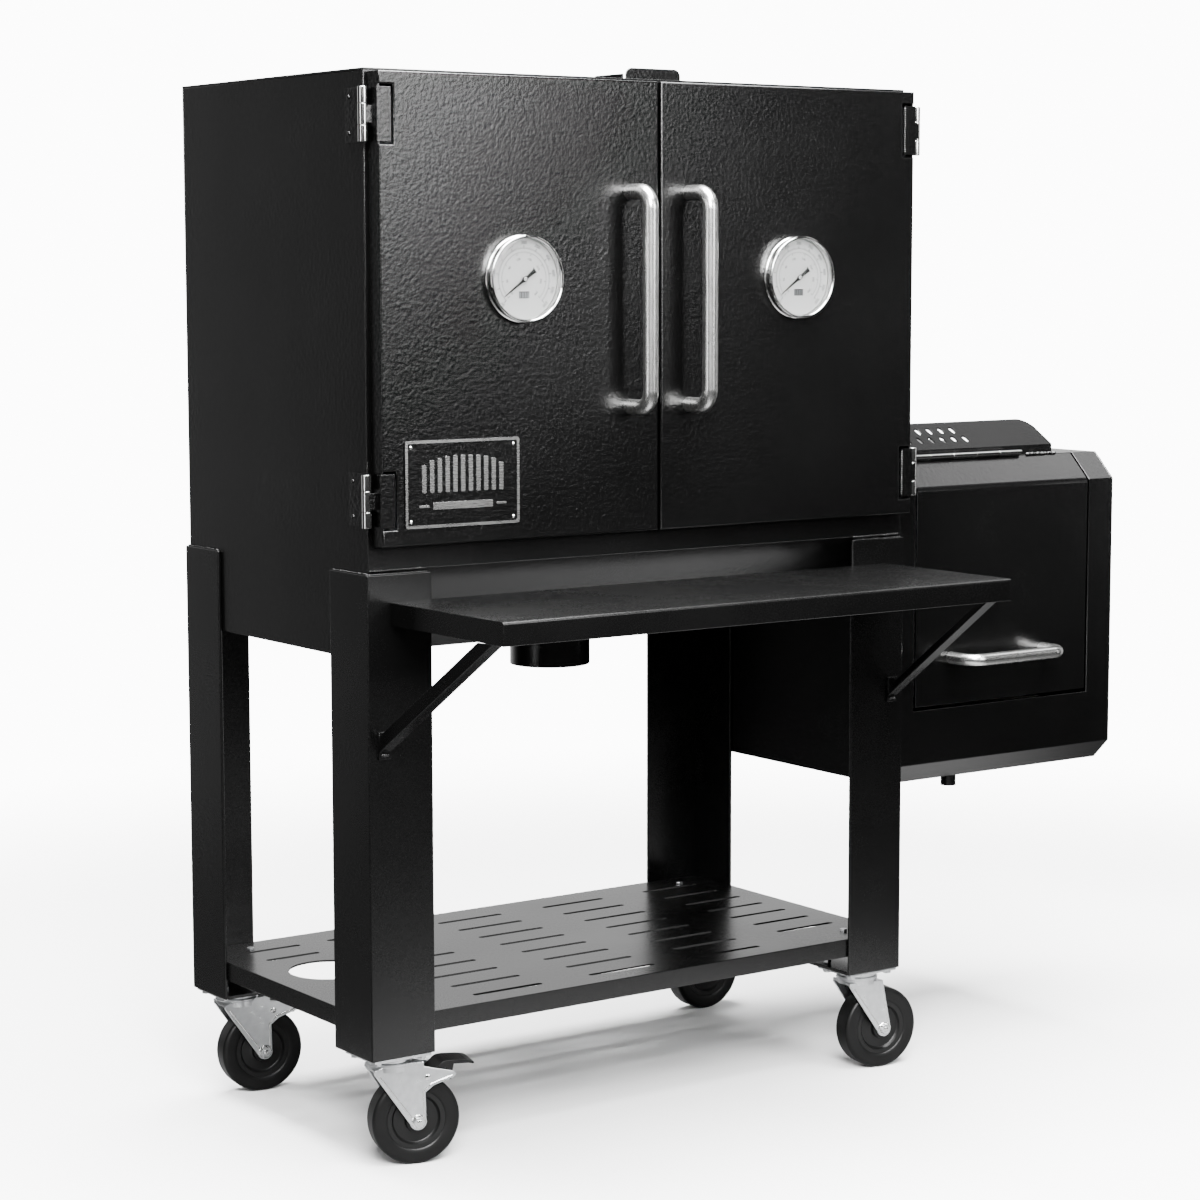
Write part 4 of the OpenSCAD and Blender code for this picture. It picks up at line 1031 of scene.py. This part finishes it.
studio = {
    "camera": (-2.71275, -3.51260, 1.25199), "yaw": 35.21, "pitch": -6.57, "roll": -0.1, "lens": 88.1,
    "floorRadius": 7.0, "fadeStart": 1.6, "fadeEnd": 3.2, "white": 12.0, "backdrop": 1.7, "room": 0.02,
    "lamps": [
        ("overhead", (-0.2, -0.4, 4.2), (-0.2, -0.4, 0), (2.8, 4.6), 2200),
        ("doorGlow", (0.82, -3.45, 2.15), (-0.45, -0.15, 1.3), (1.1, 1.4), 90),
        ("frontFill", (-2.4, -3.4, 3.4), (-0.3, -0.1, 1.1), (2.0, 2.0), 900),
        ("leftStrip", (-3.6, -0.6, 1.5), (-0.4, 0.1, 0.9), (0.4, 2.4), 25),
        ("rightHigh", (3.6, -0.3, 4.0), (0.5, -0.1, 0.9), (1.2, 1.2), 20),
        ("rightStrip", (3.3, -2.0, 1.4), (0.3, -0.1, 1.2), (0.3, 1.8), 6),
    ],
}


def lampGlow(name, place, target, size, power):
    data = bpy.data.lights.new(name, "AREA")
    data.shape = "RECTANGLE"
    data.size, data.size_y = size
    data.energy = power
    lamp = bpy.data.objects.new(name, data)
    bpy.context.scene.collection.objects.link(lamp)
    lamp.location = place
    lamp.rotation_euler = (Vector(target) - Vector(place)).to_track_quat("-Z", "Y").to_euler()
    return lamp


def makeStudio():
    look = studio
    cameraData = bpy.data.cameras.new("camera")
    cameraData.lens, cameraData.sensor_width = look["lens"], 36.0
    cameraData.clip_end = 100.0
    camera = bpy.data.objects.new("camera", cameraData)
    bpy.context.scene.collection.objects.link(camera)
    camera.location = look["camera"]
    turn = Matrix.Rotation(math.radians(-look["yaw"]), 4, "Z") @ Matrix.Rotation(
        math.radians(90 + look["pitch"]), 4, "X") @ Matrix.Rotation(math.radians(look["roll"]), 4, "Z")
    camera.rotation_euler = turn.to_euler()
    bpy.context.scene.camera = camera

    # floor: white near the smoker, fading out into the white of the room
    work = bmesh.new()
    bmesh.ops.create_circle(work, cap_ends=True, radius=look["floorRadius"], segments=96)
    mesh = bpy.data.meshes.new("floor")
    work.to_mesh(mesh)
    work.free()
    floor = bpy.data.objects.new("floor", mesh)
    bpy.context.scene.collection.objects.link(floor)
    paper = Finish("floorPaper", Roughness=0.6, Specular_IOR_Level=0.2)
    place = paper.add("ShaderNodeTexCoord", output="Object")
    distance = paper.add("ShaderNodeVectorMath", {"operation": "LENGTH"}, {0: place}, "Value")
    fade = paper.add("ShaderNodeMapRange", {"interpolation_type": "SMOOTHSTEP"},
                     {"Value": distance, "From Min": look["fadeStart"], "From Max": look["fadeEnd"]})
    paper.put("Alpha", 1 - fade)
    # in reflections and in the light it bounces, the floor's colour is painted dark away from the smoker: a painted
    # pool of light round the smoker with painted shade beyond it, while for the camera its colour stays an even white
    paintedFloorFalloff = paper.add("ShaderNodeMapRange", {"interpolation_type": "SMOOTHSTEP"},
                     {"Value": distance, "From Min": 0.55, "From Max": 1.2, "To Min": 0.22, "To Max": 0.012})
    seen = paper.add("ShaderNodeLightPath", output="Is Camera Ray")
    # camera rays see plain white; all other rays see the painted pool of light and painted shade
    paper.put("Base Color", seen * 0.9 + (1 - seen) * paintedFloorFalloff)
    mesh.materials.append(paper.material)

    # room: white for the camera, a bright sheet behind and a dark room in front for reflections
    world = bpy.data.worlds.new("room")
    bpy.context.scene.world = world
    world.use_nodes = True
    tree = world.node_tree
    tree.nodes.clear()
    out = tree.nodes.new("ShaderNodeOutputWorld")
    mixer = tree.nodes.new("ShaderNodeMixShader")
    seen, lit = tree.nodes.new("ShaderNodeBackground"), tree.nodes.new("ShaderNodeBackground")
    seen.inputs["Strength"].default_value = look["white"]
    seen.inputs["Color"].default_value = (1, 1, 1, 1)
    path = tree.nodes.new("ShaderNodeLightPath")
    place = tree.nodes.new("ShaderNodeTexCoord")
    split = tree.nodes.new("ShaderNodeVectorMath")
    split.operation = "DOT_PRODUCT"
    yaw = math.radians(look["yaw"])
    split.inputs[1].default_value = (math.sin(yaw), math.cos(yaw), 0)
    ramp = tree.nodes.new("ShaderNodeMapRange")
    ramp.interpolation_type = "SMOOTHSTEP"
    ramp.inputs["From Min"].default_value, ramp.inputs["From Max"].default_value = 0.3, 0.95
    ramp.inputs["To Min"].default_value, ramp.inputs["To Max"].default_value = look["room"], look["backdrop"]
    tree.links.new(place.outputs["Generated"], split.inputs[0])
    tree.links.new(split.outputs["Value"], ramp.inputs["Value"])
    tree.links.new(ramp.outputs["Result"], lit.inputs["Strength"])
    tree.links.new(path.outputs["Is Camera Ray"], mixer.inputs["Fac"])
    tree.links.new(lit.outputs["Background"], mixer.inputs[1])
    tree.links.new(seen.outputs["Background"], mixer.inputs[2])
    tree.links.new(mixer.outputs["Shader"], out.inputs["Surface"])

    for name, place, target, size, power in look["lamps"]:
        lampGlow(name, place, target, size, power)


makeStudio()
print("studio made")
